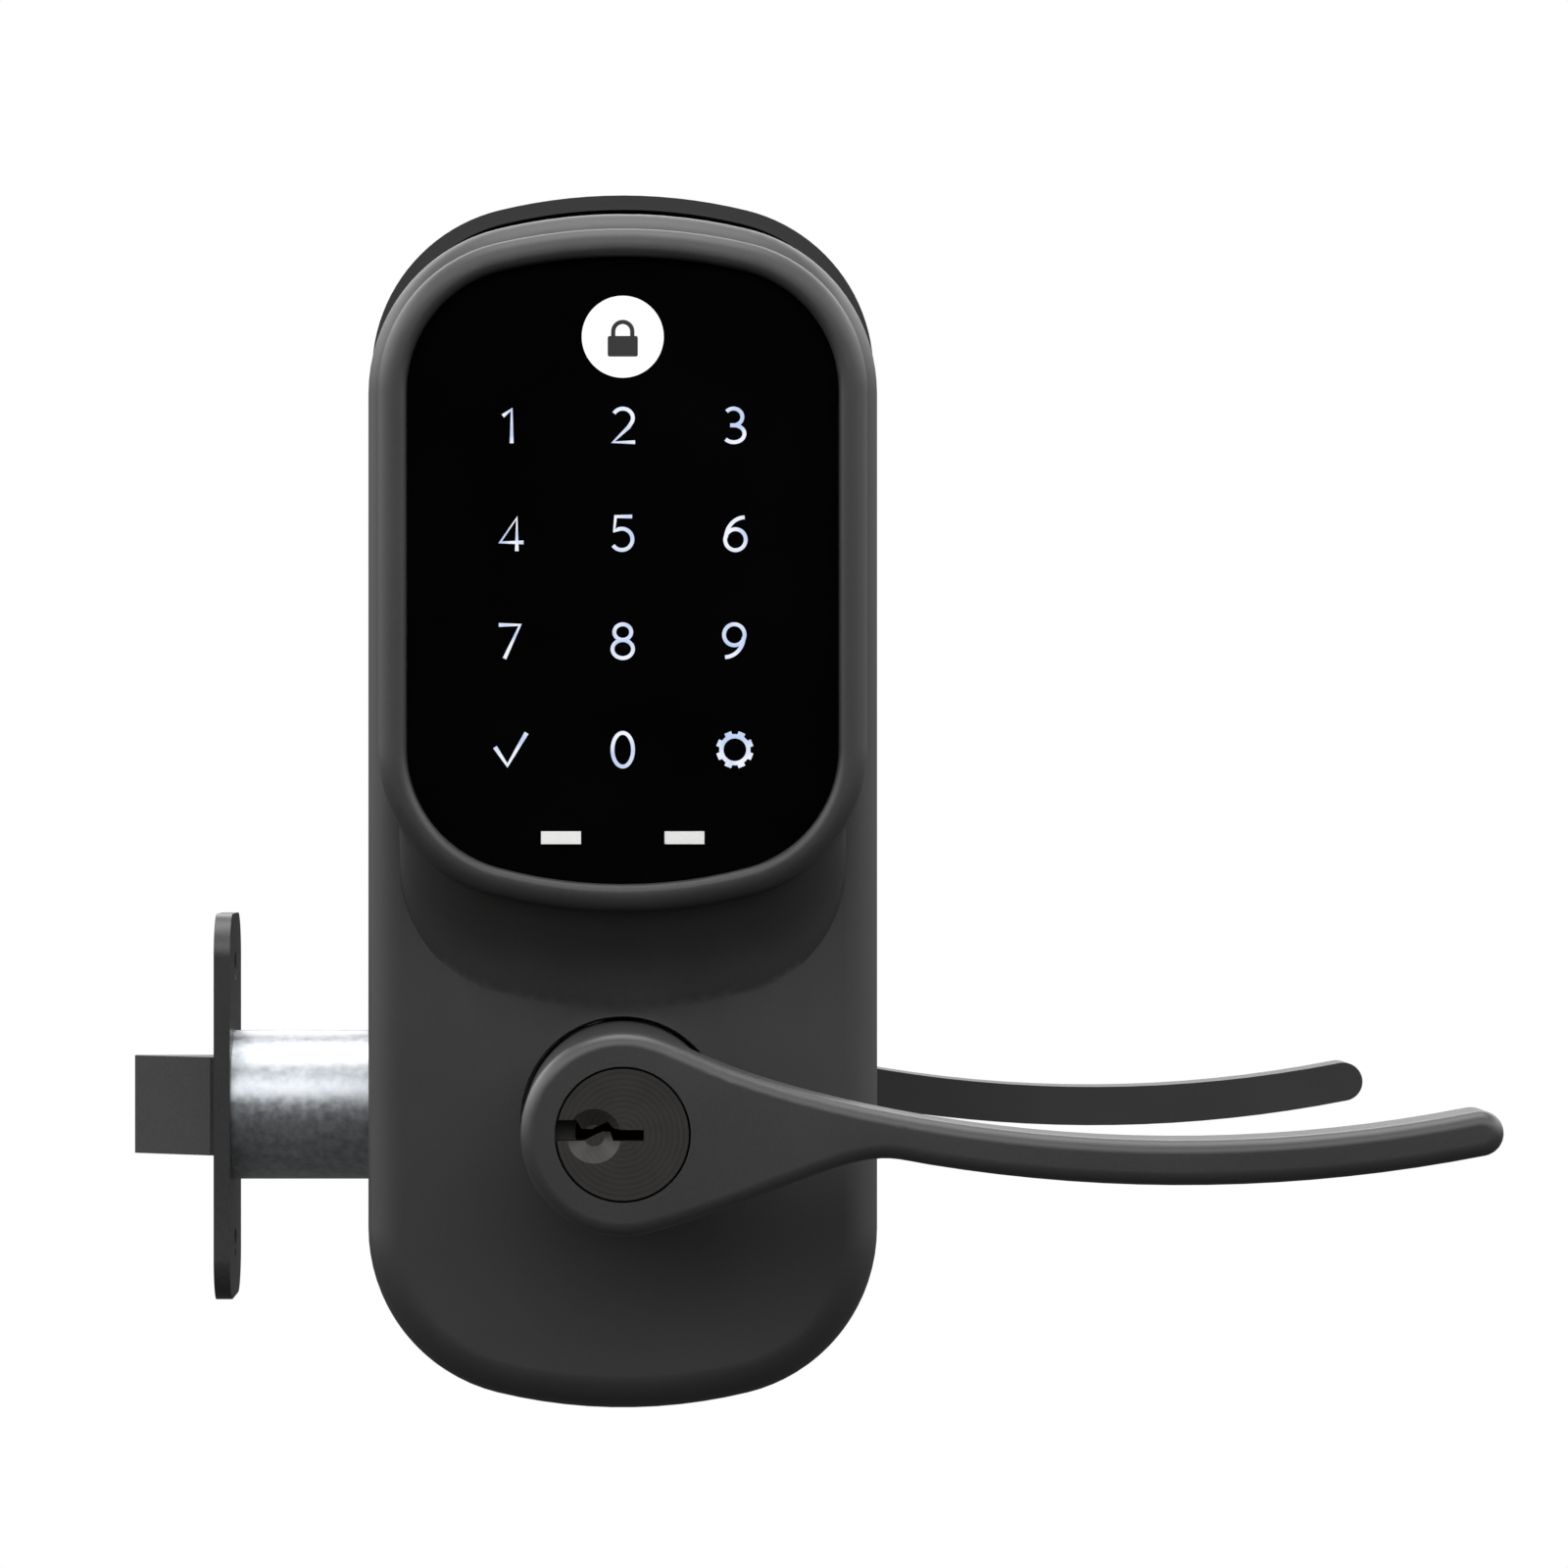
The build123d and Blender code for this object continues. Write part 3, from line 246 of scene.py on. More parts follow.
def even_normals(piece):
    """Lets large faces set the shading of their edges, so that flats stay flat beside rounded edges."""
    modifier = piece.modifiers.new("even_normals", "WEIGHTED_NORMAL")
    modifier.keep_sharp = True
    modifier.weight = FLATNESS
    return piece


def smooth_copy(node, material, slot):
    """A merged copy of a CAD node that shades smoothly, and stands for it."""
    work = bmesh.new()
    work.from_mesh(frame["nodes"][node].data)
    bmesh.ops.remove_doubles(work, verts=work.verts, dist=WELD)
    shade(work)
    mesh = mesh_of(work, node + "_piece")
    if "custom_normal" in mesh.attributes:
        mesh.attributes.remove(mesh.attributes["custom_normal"])
    body = frame["nodes"][node]["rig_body"]
    return even_normals(finish_piece(mesh, node + "_piece", body, material, slot, node))


def on_piece(tree):
    """The place on the piece, in metres, that a pattern follows."""
    return add_node(tree, "ShaderNodeTexCoord").outputs["Object"]


def noise(tree, place, size, detail, roughness=0.5):
    """Noise in clouds about that many millimetres across."""
    clouds = add_node(
        tree, "ShaderNodeTexNoise", [(place, "Vector")],
        Scale=1 / (size * MM), Detail=detail, Roughness=roughness,
    )
    return clouds.outputs[0]


def mix_patterns(tree, first, second, share):
    """Two patterns laid over each other, the second with that share."""
    both = add_node(
        tree, "ShaderNodeMix", [(first, 2), (second, 3)], data_type="FLOAT", Factor=share
    )
    return both.outputs[0]


def mix_colours(tree, share, low, high):
    """The low colour where share is 0 and the high one where it is 1, both sRGB hex values."""
    mixed = add_node(tree, "ShaderNodeMix", [(share, 0)], data_type="RGBA")
    mixed.inputs[6].default_value = linear(low)
    mixed.inputs[7].default_value = linear(high)
    return mixed.outputs[2]


def finish_surface(tree, links, **settings):
    """The surface shader with those links and settings, joined to the material's output."""
    shader = add_node(tree, "ShaderNodeBsdfPrincipled", links, **settings)
    add_node(tree, "ShaderNodeOutputMaterial", [(shader.outputs[0], 0)])


def grained(name, light, dark, rough, grain, bump, metallic=0.0, ior=1.5):
    """A finish whose colour, gloss and height vary with a grain of that size in millimetres.

    rough is the lowest and the highest roughness, and bump the height of the grain in millimetres.
    """
    material = bpy.data.materials.new(name)
    tree = empty_tree(material)
    place = on_piece(tree)
    fine = noise(tree, place, grain, 3.0, GRAIN_ROUGHNESS)
    both = mix_patterns(tree, fine, noise(tree, place, CLOUD_SIZE, 2.0), CLOUD_SHARE)
    colour = mix_colours(tree, remap(tree, both, TINT_SPAN), dark, light)
    gloss = remap(tree, both, GLOSS_SPAN, rough)
    height = add_node(tree, "ShaderNodeBump", [(fine, "Height")], Strength=1.0, Distance=bump * MM)
    links = [(colour, "Base Color"), (gloss, "Roughness"), (height.outputs[0], "Normal")]
    finish_surface(tree, links, Metallic=metallic, IOR=ior)
    return material


powder_coat = grained("satin_black_powder_coat", "#2c2b2b", "#252424", (0.42, 0.50), 0.45, 0.003)
smooth_copy("outer_escutcheon", powder_coat, "black_casting")

# ---- seal ---------------------------------------------------------------------------------------
# A ring of closed-cell foam, die-cut to the plate's outline and held between the plate and the door.
# It is matt and dead black, and open-pored where it was cut.
foam = grained("closed_cell_foam", "#242424", "#141414", (0.85, 0.98), 0.5, 0.05)
smooth_copy("outer_seal", foam, "seal_foam")

# ---- touch glass --------------------------------------------------------------------------------
# One polished sheet of glass in the casting's window, with its edge ground and its back printed
# black. Light shows through it only at the marks.
touch_glass = grained("polished_black_glass", "#050506", "#020203", (0.04, 0.07), 30.0, 0.0, ior=1.45)
smooth_copy("touchscreen_glass", touch_glass, "touch_glass")

# ---- key marks ----------------------------------------------------------------------------------
# Ten figures, a tick and a gear left clear in the black print and lit from behind by the light guide.
# Each is a pen stroke of even width with round ends, as thin as ink, just in front of the glass.
GLASS_FRONT = -28.0 * MM
MARK_LIFT = 0.02 * MM  # the marks lie this far in front of the glass, so that they show
INK_THICK = 0.04 * MM
INK_WELD = 1e-7  # a stroke's corners lie closer together than those of a CAD piece
COLUMNS = (-15.8, 0.0, 15.8)
ROWS = (98.2, 83.0, 67.8, 52.5)
LAYOUT = ["123", "456", "789", " 0 "]
FIGURE_STROKE = 0.54
TICK_STROKE = 0.62
TICK = [([(-2.2, 0.3), (-0.45, -2.3), (2.25, 2.3)], False)]
GEAR_RIM, GEAR_TIP, GEAR_TEETH = 1.9, 2.62, 8
GEAR_RIM_STROKE, GEAR_TOOTH_STROKE = 0.6, 1.0
STROKE_ROUNDNESS = 3

LIT_CLOUD = 3.5
LIT_SPAN = (0.4, 0.62)
LIT_GLOSS = 0.35
UNLIT = "#202226"


def lit_print(name, edge, middle, strength):
    """Translucent print lit from behind, whiter in some parts of a mark than in others."""
    material = bpy.data.materials.new(name)
    tree = empty_tree(material)
    share = remap(tree, noise(tree, on_piece(tree), LIT_CLOUD, 1.0), LIT_SPAN)
    links = [(mix_colours(tree, share, edge, middle), "Emission Color")]
    finish_surface(
        tree, links, Base_Color=linear(UNLIT), Roughness=LIT_GLOSS, Emission_Strength=strength
    )
    return material


def flat_from_curve(curve, name, at, front):
    """Mesh of a curve drawn in its own XY plane: as thin as ink, upright at (x, z), its front at y."""
    holder = linked(name, curve)
    bpy.context.view_layer.update()
    drawn = bpy.data.meshes.new_from_object(holder.evaluated_get(bpy.context.evaluated_depsgraph_get()))
    bpy.data.objects.remove(holder)
    work = bmesh.new()
    work.from_mesh(drawn)
    bpy.data.meshes.remove(drawn)
    bmesh.ops.remove_doubles(work, verts=work.verts, dist=INK_WELD)
    low = Vector([min(v.co[i] for v in work.verts) for i in range(3)])
    high = Vector([max(v.co[i] for v in work.verts) for i in range(3)])
    bmesh.ops.translate(work, verts=work.verts, vec=-(low + high) / 2)
    deep = high.z - low.z
    bmesh.ops.scale(work, verts=work.verts, vec=(1, 1, INK_THICK / deep))
    bmesh.ops.rotate(work, verts=work.verts, matrix=Matrix.Rotation(pi / 2, 3, "X"))
    bmesh.ops.translate(work, verts=work.verts, vec=(at[0] * MM, front, at[1] * MM))
    shade(work)
    return mesh_of(work, name)


def stroke_curve(points, width, closed=False):
    """Round-ended stroke of that width through points in millimetres; flat_from_curve then makes it flat."""
    curve = bpy.data.curves.new("stroke", "CURVE")
    curve.dimensions = "3D"
    curve.bevel_depth = width / 2 * MM
    curve.bevel_resolution = STROKE_ROUNDNESS
    curve.use_fill_caps = True
    spline = curve.splines.new("POLY")
    spline.points.add(len(points) - 1)
    for point, (x, y) in zip(spline.points, points):
        point.co = (x * MM, y * MM, 0, 1)
    spline.use_cyclic_u = closed
    return curve


def arc(centre, radii, start, end, count=24):
    """Points along an ellipse arc, angles in degrees, counter-clockwise from +x."""
    last = count if end - start >= 360 else count + 1  # a closed arc doesn't repeat its first point
    steps = [radians(start + (end - start) * i / count) for i in range(last)]
    return [(centre[0] + radii[0] * cos(a), centre[1] + radii[1] * sin(a)) for a in steps]


# light humanist figures: pen strokes in a box 3.5 mm wide and 5.35 tall with its middle at the origin,
# each as its points and whether it closes on itself
TWO_FOOT = [(0.7, -0.25), (-1.5, -2.36), (1.62, -2.36)]
FIVE_TOP = [(1.35, 2.36), (-0.98, 2.36), (-1.18, 0.32)]
FIGURES = {
    "0": [(arc((0, 0), (1.45, 2.38), 0, 360, 40), True)],
    "1": [([(-1.05, 1.45), (0.2, 2.38), (0.2, -2.38)], False)],
    "2": [(arc((-0.12, 1.05), (1.42, 1.32), 150, -28, 20) + TWO_FOOT, False)],
    "3": [
        (arc((-0.15, 1.2), (1.25, 1.18), 140, -80, 20) + [(-0.6, 0.02)], False),
        ([(-0.6, 0.02)] + arc((-0.1, -1.17), (1.5, 1.19), 82, -140, 24), False),
    ],
    "4": [([(0.75, -2.38), (0.75, 2.3), (-1.6, -1.15), (1.7, -1.15)], False)],
    "5": [(FIVE_TOP + arc((-0.1, -0.85), (1.5, 1.5), 112, -145, 24), False)],
    "6": [
        (arc((0.08, -0.9), (1.45, 1.48), 0, 360, 32), True),
        (arc((1.35, -0.55), (2.72, 2.93), 178, 92, 16), False),
    ],
    "7": [([(-1.55, 2.36), (1.45, 2.36), (-0.75, -2.38)], False)],
    "8": [
        (arc((0, 1.28), (1.2, 1.1), 0, 360, 28), True),
        (arc((0, -1.12), (1.45, 1.27), 0, 360, 32), True),
    ],
    "9": [
        (arc((-0.08, 0.9), (1.45, 1.48), 0, 360, 32), True),
        (arc((-1.35, 0.55), (2.72, 2.93), -2, -88, 16), False),
    ],
}


def join_meshes(meshes, name):
    """One mesh of several."""
    work = bmesh.new()
    for mesh in meshes:
        work.from_mesh(mesh)
    return mesh_of(work, name)


def drawn_mark(strokes, name, at, width):
    """A mark of several pen strokes, each placed by its own middle."""
    parts = []
    for points, closed in strokes:
        xs = [p[0] for p in points]
        ys = [p[1] for p in points]
        middle = ((min(xs) + max(xs)) / 2 + at[0], (min(ys) + max(ys)) / 2 + at[1])
        curve = stroke_curve(points, width, closed)
        parts.append(flat_from_curve(curve, name, middle, GLASS_FRONT - MARK_LIFT))
    return join_meshes(parts, name)


def gear_mark(name, at):
    """Round gear: a stroked ring with short square teeth."""
    rim = [(arc((0, 0), (GEAR_RIM, GEAR_RIM), 0, 360, 48), True)]
    turns = [2 * pi * (i + 0.5) / GEAR_TEETH for i in range(GEAR_TEETH)]
    teeth = [([(r * cos(a), r * sin(a)) for r in (GEAR_RIM, GEAR_TIP)], False) for a in turns]
    parts = [
        drawn_mark(rim, "rim", at, GEAR_RIM_STROKE),
        drawn_mark(teeth, "teeth", at, GEAR_TOOTH_STROKE),
    ]
    return join_meshes(parts, name)


lit_marks = lit_print("lit_key_print", "#c3d4f4", "#f2f6ff", 0.95)
for row, text in zip(ROWS, LAYOUT):
    for column, figure in zip(COLUMNS, text):
        if figure != " ":
            mark = drawn_mark(FIGURES[figure], "key_mark_" + figure, (column, row), FIGURE_STROKE)
            finish_piece(mark, "key_mark_" + figure, "door_set", lit_marks, "legend_light")
tick = drawn_mark(TICK, "key_mark_enter", (COLUMNS[0], ROWS[3]), TICK_STROKE)
gear = gear_mark("key_mark_settings", (COLUMNS[2], ROWS[3]))
finish_piece(tick, "key_mark_enter", "door_set", lit_marks, "legend_light")
finish_piece(gear, "key_mark_settings", "door_set", lit_marks, "legend_light")

# ---- round symbol -------------------------------------------------------------------------------
# A white disc above the keys with a generic padlock on it, printed in white and black ink.
# It is lit from behind, a little more strongly than the key marks.
SYMBOL_AT = (0.0, 110.7)
SYMBOL_R = 5.78
SYMBOL_THICK = 0.03
SYMBOL_PADLOCK = 5.6
PADLOCK_LIFT = 3 * MARK_LIFT
DISC_SIDES = 96
CORNER_STEPS = 5

# the padlock's proportions, as shares of its size
LEG, HOOP_RISE, HOOP_STROKE, HOOP_UP = 0.24, 0.16, 0.11, 0.2
BODY_WIDE, BODY_TALL, BODY_CORNER, BODY_DOWN = 0.76, 0.52, 0.05, 0.24


def disc_mesh(radius, thickness, at, front):
    """Thin upright disc round (x, z), from y = front towards the inside of the door."""
    work = bmesh.new()
    bmesh.ops.create_cone(
        work, cap_ends=True, segments=DISC_SIDES, radius1=radius, radius2=radius, depth=thickness
    )
    bmesh.ops.rotate(work, verts=work.verts, matrix=Matrix.Rotation(pi / 2, 3, "X"))
    bmesh.ops.translate(work, verts=work.verts, vec=(at[0] * MM, front + thickness / 2, at[1] * MM))
    shade(work)
    return mesh_of(work, "disc")


def slab_mesh(width, height, thickness, corner, at, front):
    """Thin upright slab with rounded corners, from y = front towards the inside of the door."""
    work = bmesh.new()
    bmesh.ops.create_cube(work, size=1.0)
    bmesh.ops.scale(work, verts=work.verts, vec=(width, thickness, height))
    upright = [e for e in work.edges if abs(e.verts[0].co.y - e.verts[1].co.y) > thickness / 2]
    bmesh.ops.bevel(
        work, geom=upright, offset=corner, segments=CORNER_STEPS, profile=0.5, affect="EDGES", material=-1
    )
    bmesh.ops.translate(work, verts=work.verts, vec=(at[0] * MM, front + thickness / 2, at[1] * MM))
    shade(work)
    return mesh_of(work, "slab")


def padlock_mesh(size, at, front):
    """A plain padlock pictogram about that tall in millimetres: a solid body and a bent shackle."""
    leg = LEG * size
    hoop = [(-leg, 0.0)] + arc((0, HOOP_RISE * size), (leg, leg), 180, 0, 20) + [(leg, 0.0)]
    hoop_at = (at[0], at[1] + HOOP_UP * size)
    shackle = flat_from_curve(stroke_curve(hoop, HOOP_STROKE * size), "shackle", hoop_at, front)
    wide, tall, corner = (share * size * MM for share in (BODY_WIDE, BODY_TALL, BODY_CORNER))
    body = slab_mesh(wide, tall, INK_THICK, corner, (at[0], at[1] - BODY_DOWN * size), front)
    return join_meshes([shackle, body], "padlock")


white_print = lit_print("white_symbol_print", "#fbfbfb", "#ffffff", 1.0)
black_print = grained("black_symbol_print", "#1c1c1c", "#141414", (0.5, 0.6), 2.0, 0.0)
finish_piece(
    disc_mesh(SYMBOL_R * MM, SYMBOL_THICK * MM, SYMBOL_AT, GLASS_FRONT - MARK_LIFT),
    "round_symbol", "door_set", white_print, "white_plastic",
)
finish_piece(
    padlock_mesh(SYMBOL_PADLOCK, SYMBOL_AT, GLASS_FRONT - PADLOCK_LIFT),
    "padlock_symbol", "door_set", black_print, "black_abs",
)

# ---- backup terminals ---------------------------------------------------------------------------
# Two flat bars with a satin nickel plating, which stand out of windows in the glass below the keys.
# A 9 V battery held against them feeds the lock when its own cells are flat.
satin_nickel = grained("satin_nickel_plate", "#fafaf8", "#eeeeec", (0.45, 0.58), 0.3, 0.002, metallic=1.0)
smooth_copy("backup_terminals", satin_nickel, "nickel")

# ---- levers and turn button ---------------------------------------------------------------------
# Die-cast levers and the turn button in the inside one, in the same satin black as the castings.
# Hands have rubbed them a little smoother; a split ring behind the bush holds each lever.
lever_coat = grained("satin_black_lever_coat", "#2f2e2e", "#292828", (0.33, 0.41), 0.5, 0.002)
for node in ("outer_lever", "inner_lever", "turn_button"):
    smooth_copy(node, lever_coat, "black_lever")

# ---- key cylinder -------------------------------------------------------------------------------
# A brass plug and its body, turned on a lathe, which leaves fine rings round the spindle axis.
# Both are plated dark; the pins, and the screw that the clutch motor turns, stay bare brass.
CYLINDER_CLOUD = 4.0
CYLINDER_CLOUD_SHARE = 0.6
RING_WANDER, RING_DETAIL = 0.6, 1.5
RING_BUMP, RING_BUMP_STRENGTH = 0.003, 0.6
RING_PHASE = 20  # radians that the ring pattern turns through in each unit of length


def turned(name, light, dark, rough, pitch, metallic=1.0):
    """A lathe-turned face: fine rings round the spindle axis, 2 pi times pitch millimetres apart."""
    material = bpy.data.materials.new(name)
    tree = empty_tree(material)
    place = on_piece(tree)
    rings = add_node(
        tree, "ShaderNodeTexWave", [(place, "Vector")], wave_type="RINGS", rings_direction="Y",
        Scale=1 / (pitch * MM) / RING_PHASE, Distortion=RING_WANDER, Detail=RING_DETAIL,
    ).outputs["Fac"]
    mixed = mix_patterns(tree, rings, noise(tree, place, CYLINDER_CLOUD, 2.0), CYLINDER_CLOUD_SHARE)
    colour = mix_colours(tree, mixed, dark, light)
    gloss = remap(tree, mixed, values=rough)
    height = add_node(
        tree, "ShaderNodeBump", [(rings, "Height")], Strength=RING_BUMP_STRENGTH, Distance=RING_BUMP * MM
    )
    links = [(colour, "Base Color"), (gloss, "Roughness"), (height.outputs[0], "Normal")]
    finish_surface(tree, links, Metallic=metallic)
    return material


dark_plug = turned("dark_plated_turned_brass", "#2c2a27", "#201e1b", (0.36, 0.48), 0.12, metallic=0.3)
for node in ("cylinder_plug", "cylinder_body"):
    smooth_copy(node, dark_plug, "black_nickel")
brass = turned("turned_brass", "#c9a055", "#a9803c", (0.25, 0.4), 0.15)
for node in ("cylinder_pins", "drive_screw"):
    smooth_copy(node, brass, "brass")

# ---- steel inside and through the door ----------------------------------------------------------
# Pressed plates and cans, hubs, bolts, screws and the square spindle, zinc-plated: bright grey with
# a fine crystalline bloom. Two long bolts clamp the halves to the door.
ZINC_NODES = (
    "outer_chassis", "clutch_motor", "lock_slide", "outer_hub", "cylinder_tailpiece", "latch_case",
    "latch_hub", "spindle", "mounting_plate", "radio_module", "inner_hub", "button_shaft",
    "through_bolts", "chassis_screws", "keypad_screws", "housing_screws", "board_screws",
)
zinc_plate = grained("zinc_plated_steel", "#b9bcc0", "#8f9398", (0.28, 0.45), 1.2, 0.004, metallic=1.0)
for node in ZINC_NODES:
    smooth_copy(node, zinc_plate, "zinc_steel")

# ---- latch --------------------------------------------------------------------------------------
# Faceplate, bevelled bolt and deadlatch plunger, pressed and machined in steel and then coated black
# in a bath. The screw that holds the battery cover has the same finish.
black_steel = grained("black_coated_steel", "#2c2c2d", "#222223", (0.32, 0.42), 0.6, 0.003)
for node in ("latch_faceplate", "latch_bolt", "deadlatch_plunger", "cover_screw"):
    smooth_copy(node, black_steel, "black_steel")

# ---- springs and rings --------------------------------------------------------------------------
# Return springs wound from oiled wire, and the two split rings that keep the levers in.
# The bolt presses its own spring towards the end of the latch tube; here the spring gets a mesh of its own
# but keeps the shape it has in the CAD.
spring_steel = grained("oiled_spring_wire", "#7a7b7e", "#55565a", (0.25, 0.4), 0.4, 0.002, metallic=1.0)
for node in ("outer_return_spring", "inner_return_spring", "outer_retaining_ring", "inner_retaining_ring"):
    smooth_copy(node, spring_steel, "spring_steel")
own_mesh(smooth_copy("latch_spring", spring_steel, "spring_steel"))

# ---- threads of the through bolts ---------------------------------------------------------------
# Rolled M5 threads, zinc-plated with the bolts: a low ridge wound round each shank in the outer
# half of the door, on its way to the threaded posts of the outside chassis.
THREAD_FEET = ((16.0, 16.0), (-16.0, -16.0))
THREAD_START, THREAD_TURNS, THREAD_PITCH = 1.0, 27, 0.8
SHANK_R, THREAD_RIDGE = 2.4, 0.24
THREAD_STEPS = 20
WIRE_SIDES = 8
WIRE_CREASE = radians(60)


def coil_mesh(radius, wire, rise, turns, at, turn_steps):
    """Coil in millimetres that rises along +Z, wire being its own radius; at places and turns it."""
    work = bmesh.new()
    ring = bmesh.ops.create_circle(work, segments=WIRE_SIDES, radius=wire * MM)
    bmesh.ops.rotate(work, verts=ring["verts"], matrix=Matrix.Rotation(pi / 2, 3, "X"))
    bmesh.ops.translate(work, verts=ring["verts"], vec=(radius * MM, 0, 0))
    steps = turns * turn_steps
    bmesh.ops.spin(
        work, geom=work.verts[:] + work.edges[:], cent=(0, 0, 0), axis=(0, 0, 1),
        dvec=(0, 0, rise * MM / steps), angle=2 * pi * turns, steps=steps,
        use_merge=False, use_duplicate=False,
    )
    bmesh.ops.holes_fill(work, edges=[e for e in work.edges if len(e.link_faces) == 1], sides=0)
    bmesh.ops.recalc_face_normals(work, faces=work.faces)
    bmesh.ops.transform(work, verts=work.verts, matrix=at)
    shade(work, WIRE_CREASE)
    return mesh_of(work, "coil")


for index, (x, z) in enumerate(THREAD_FEET):
    along_bolt = Matrix.Translation(Vector((x, THREAD_START, z)) * MM) @ Matrix.Rotation(-pi / 2, 4, "X")
    rise = THREAD_TURNS * THREAD_PITCH
    ridge = coil_mesh(SHANK_R, THREAD_RIDGE, rise, THREAD_TURNS, along_bolt, THREAD_STEPS)
    finish_piece(ridge, "bolt_thread_" + str(index + 1), "door_set", zinc_plate, "zinc_steel")

# ---- bushes -------------------------------------------------------------------------------------
# Plain bearings of sintered bronze, pressed into the steel plates, in which the levers turn.
# They are porous, and brown with the oil that they hold.
bronze = grained("sintered_bronze", "#a77b4a", "#7b5731", (0.4, 0.6), 0.3, 0.01, metallic=1.0)
for node in ("outer_bush", "inner_bush"):
    smooth_copy(node, bronze, "bronze")

# ---- inside casting -----------------------------------------------------------------------------
# Die-cast zinc housing on the room side, in the same satin black powder coat as the outside one.
# Screws hold it to the mounting plate, which the long bolts clamp to the door.
smooth_copy("inner_escutcheon", powder_coat, "black_casting")

# ---- battery cover ------------------------------------------------------------------------------
# Moulded ABS with a fine spark-eroded texture; it is darker and more even than the coated casting.
# It slides up off the lock once its screw is out. A polished badge with a textured padlock is set
# in its face.
COVER_FACE = 80.5 * MM
BADGE_AT = (0.0, 118.5)
BADGE_R, BADGE_PADLOCK = 6.6, 6.4
BADGE_SUNK, BADGE_PROUD = 0.04, 0.08

cover_abs = grained("fine_textured_black_abs", "#131313", "#0e0e0e", (0.5, 0.6), 0.35, 0.006)
smooth_copy("battery_cover", cover_abs, "black_abs")
gloss_abs = grained("polished_black_abs", "#101010", "#0b0b0b", (0.22, 0.3), 1.5, 0.001)
finish_piece(
    disc_mesh(BADGE_R * MM, (BADGE_SUNK + BADGE_PROUD) * MM, BADGE_AT, COVER_FACE - BADGE_SUNK * MM),
    "cover_badge", "battery_cover", gloss_abs, "black_abs",
)
finish_piece(
    padlock_mesh(BADGE_PADLOCK, BADGE_AT, COVER_FACE + BADGE_PROUD * MM),
    "cover_badge_padlock", "battery_cover", cover_abs, "black_abs",
)

# ---- notch bar and reset button -----------------------------------------------------------------
# Small parts moulded in white ABS with a plain satin surface: the bar that shows in the battery
# cover's finger notch, and the button that resets the lock.
white_abs = grained("white_moulded_abs", "#f7f7f6", "#ededeb", (0.4, 0.5), 0.6, 0.003)
for node in ("notch_bar", "reset_button"):
    smooth_copy(node, white_abs, "white_plastic")

# ---- lead and plugs -----------------------------------------------------------------------------
# The lead between the halves runs through the door in a matt black sleeve.
# The plug at each end is moulded in natural nylon, which is slightly yellow.
jacket = grained("black_lead_sleeve", "#1d1d1e", "#121213", (0.5, 0.65), 0.6, 0.02)
smooth_copy("harness_lead", jacket, "cable_jacket")
nylon = grained("natural_nylon", "#e8e3d2", "#d6d0bc", (0.4, 0.55), 0.8, 0.004)
smooth_copy("harness_plugs", nylon, "connector_white")

# ---- mouldings inside ---------------------------------------------------------------------------
# Dark grey ABS mouldings that nobody sees with the lock on the door, among them the keypad's back and
# the battery tray. The frame that spreads the light behind the marks is moulded in a milky plastic.
grey_abs = grained("dark_grey_abs", "#3a3b3d", "#2f3032", (0.45, 0.6), 0.5, 0.006)
for node in ("keypad_backplate", "buzzer", "motor_clamp", "reset_switch", "battery_tray"):
    smooth_copy(node, grey_abs, "grey_abs")
milky = grained("milky_light_guide", "#dfe1e2", "#cdd0d1", (0.35, 0.45), 0.8, 0.003)
smooth_copy("light_guide", milky, "clear_plastic")

# ---- boards -------------------------------------------------------------------------------------
# Glass-epoxy boards under green solder mask, with black moulded chips and sockets soldered to them.
# The touch board lies behind the light guide, and the control board in the inside half.
TOUCH_BOARD_Y = (-20.85, -19.15)
CONTROL_BOARD_Y = (49.45, 51.15)
SPECK, SPECK_SPAN = 1.2, (0.82, 1.18)
SPECK_BUMP = 0.01
GREEN, CHIP = ("#14603a", 0.35), ("#1b1b1c", 0.5)


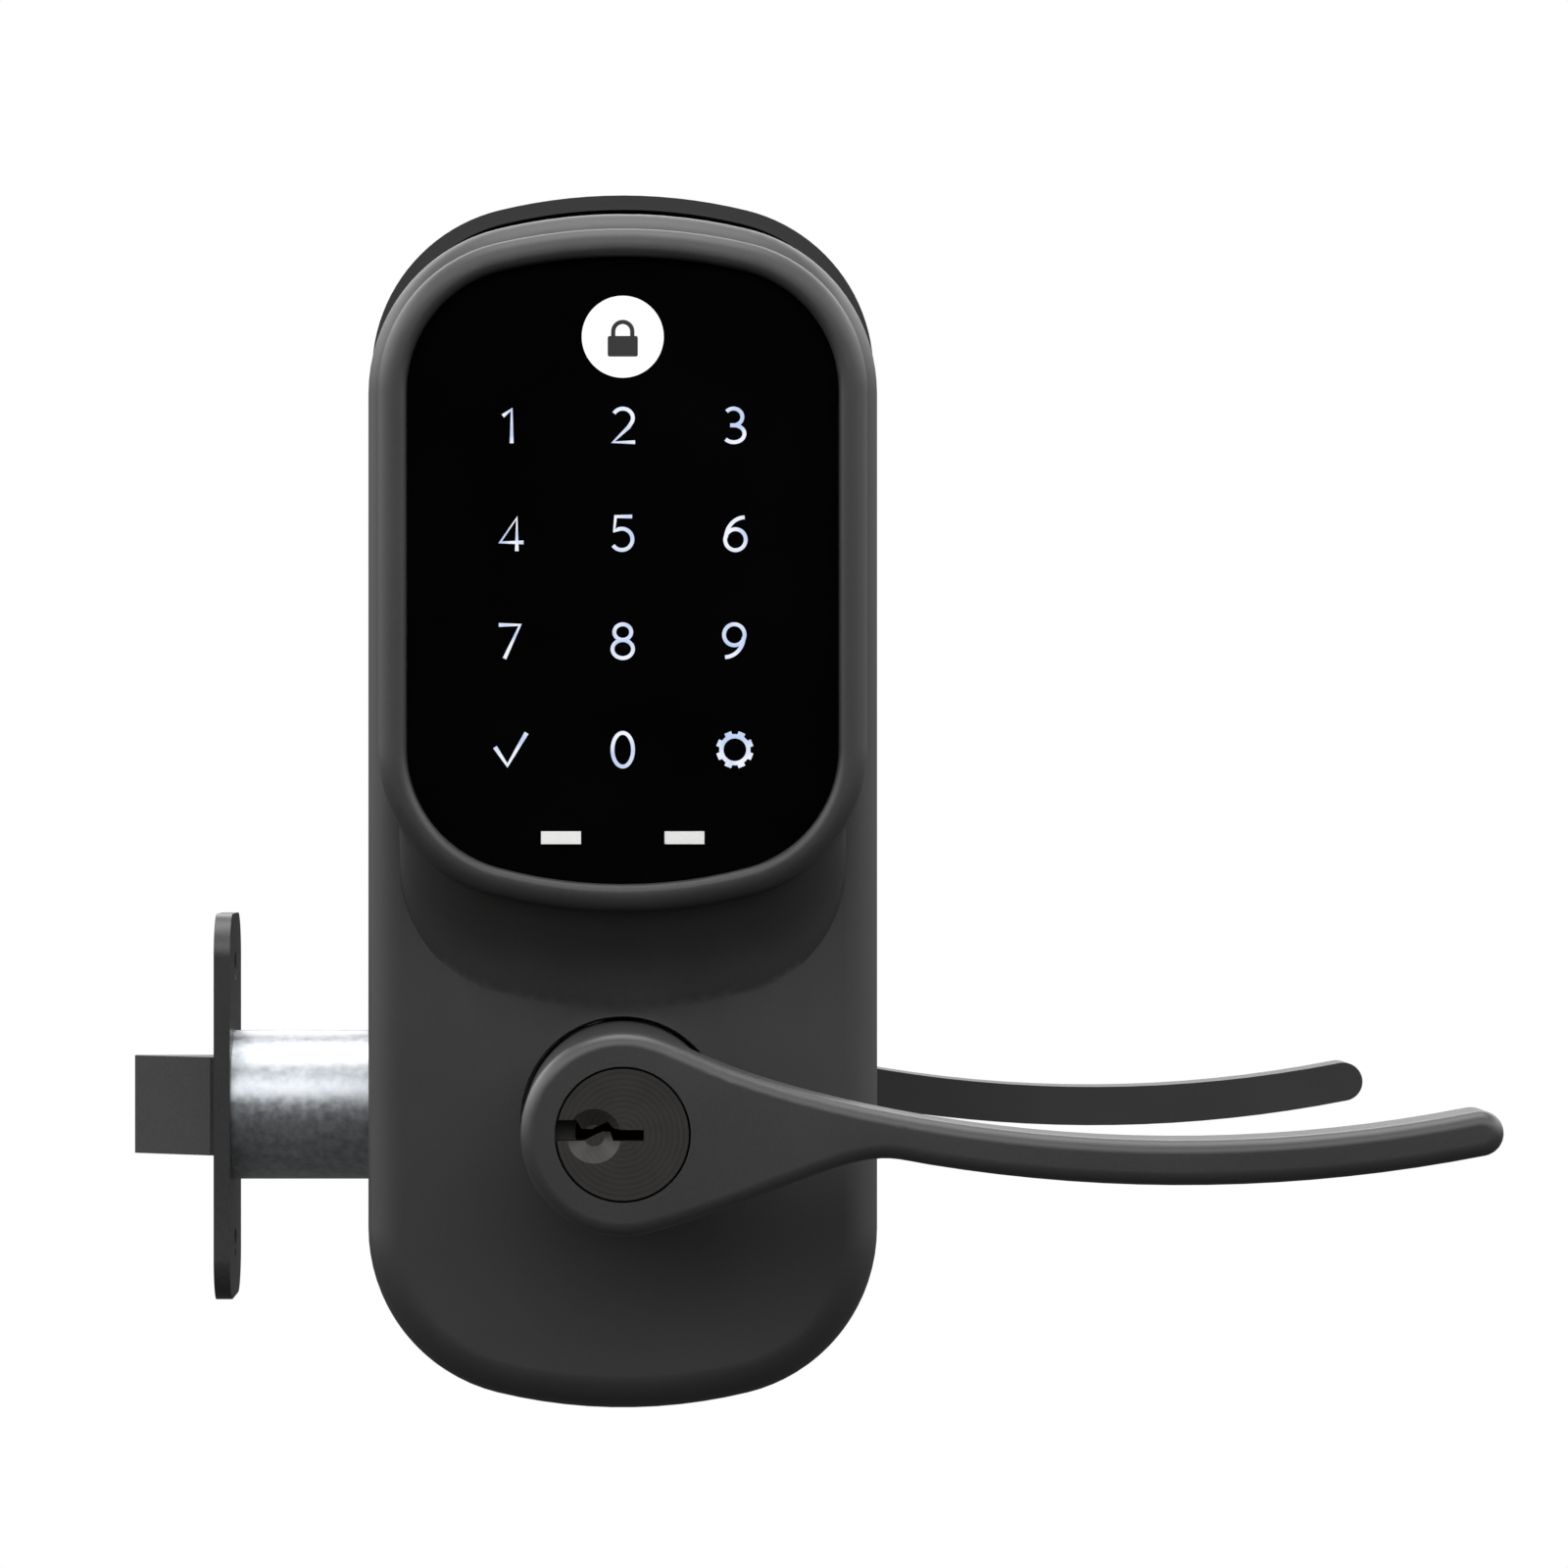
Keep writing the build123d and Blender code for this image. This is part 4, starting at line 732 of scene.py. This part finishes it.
def two_tone(name, axis, span, inside, outside, metallic=0.0):
    """A finish with one colour and gloss within a span in millimetres of an axis, and another beyond it.

    inside and outside are each an sRGB colour and a roughness; metallic is that of the outside.
    """
    material = bpy.data.materials.new(name)
    tree = empty_tree(material)
    place = on_piece(tree)
    along = add_node(tree, "ShaderNodeSeparateXYZ", [(place, 0)]).outputs[axis]
    from_middle = reckon(tree, "SUBTRACT", along, (span[0] + span[1]) / 2 * MM)
    reach = (span[1] - span[0]) / 2 * MM
    beyond = reckon(tree, "GREATER_THAN", reckon(tree, "ABSOLUTE", from_middle), reach)
    specks = noise(tree, place, SPECK, 3.0)
    tone = mix_colours(tree, beyond, inside[0], outside[0])
    colour = add_node(
        tree, "ShaderNodeVectorMath", [(tone, 0), (remap(tree, specks, values=SPECK_SPAN), 1)],
        operation="MULTIPLY",
    )
    gloss = remap(tree, beyond, values=(inside[1], outside[1]))
    shine = remap(tree, beyond, values=(0.0, metallic))
    height = add_node(tree, "ShaderNodeBump", [(specks, "Height")], Distance=SPECK_BUMP * MM)
    links = [
        (colour.outputs[0], "Base Color"), (gloss, "Roughness"),
        (shine, "Metallic"), (height.outputs[0], "Normal"),
    ]
    finish_surface(tree, links)
    return material


touch_mask = two_tone("touch_board_mask", "Y", TOUCH_BOARD_Y, GREEN, CHIP)
control_mask = two_tone("control_board_mask", "Y", CONTROL_BOARD_Y, GREEN, CHIP)
smooth_copy("keypad_board", touch_mask, "green_board")
smooth_copy("control_board", control_mask, "green_board")

# ---- batteries ----------------------------------------------------------------------------------
# Four AA cells in a plain printed sleeve with bare steel ends, pushed into the tray by hand.
# A nickel-plated coil at one end of each presses it against the contact at the other.
CELL_MIDDLE, SLEEVE_HALF = 89.0, 23.9
CELL_SPRING_Y, CELL_SPRING_R, CELL_WIRE = 66.1, 3.0, 0.3
CELL_SPRING_LONG, CELL_SPRING_TURNS, CELL_SPRING_STEPS = 1.9, 3, 32
CELL_SPRING_FEET = ((-22.5, 62.05), (-7.5, 114.05), (7.5, 62.05), (22.5, 114.05))

sleeve = two_tone(
    "printed_cell_sleeve", "Z", (CELL_MIDDLE - SLEEVE_HALF, CELL_MIDDLE + SLEEVE_HALF),
    ("#31465e", 0.28), ("#c9cbcd", 0.32), metallic=1.0,
)
smooth_copy("batteries", sleeve, "cell_wrap")
smooth_copy("battery_contacts", satin_nickel, "nickel")

cell_coils = []
for x, foot in CELL_SPRING_FEET:
    at_foot = Matrix.Translation(Vector((x, CELL_SPRING_Y, foot + CELL_WIRE)) * MM)
    rise = CELL_SPRING_LONG - 2 * CELL_WIRE
    cell_coils.append(
        coil_mesh(CELL_SPRING_R, CELL_WIRE, rise, CELL_SPRING_TURNS, at_foot, CELL_SPRING_STEPS)
    )
finish_piece(
    join_meshes(cell_coils, "cell_springs_piece"),
    "cell_springs_piece", "door_set", satin_nickel, "nickel", "cell_springs",
)
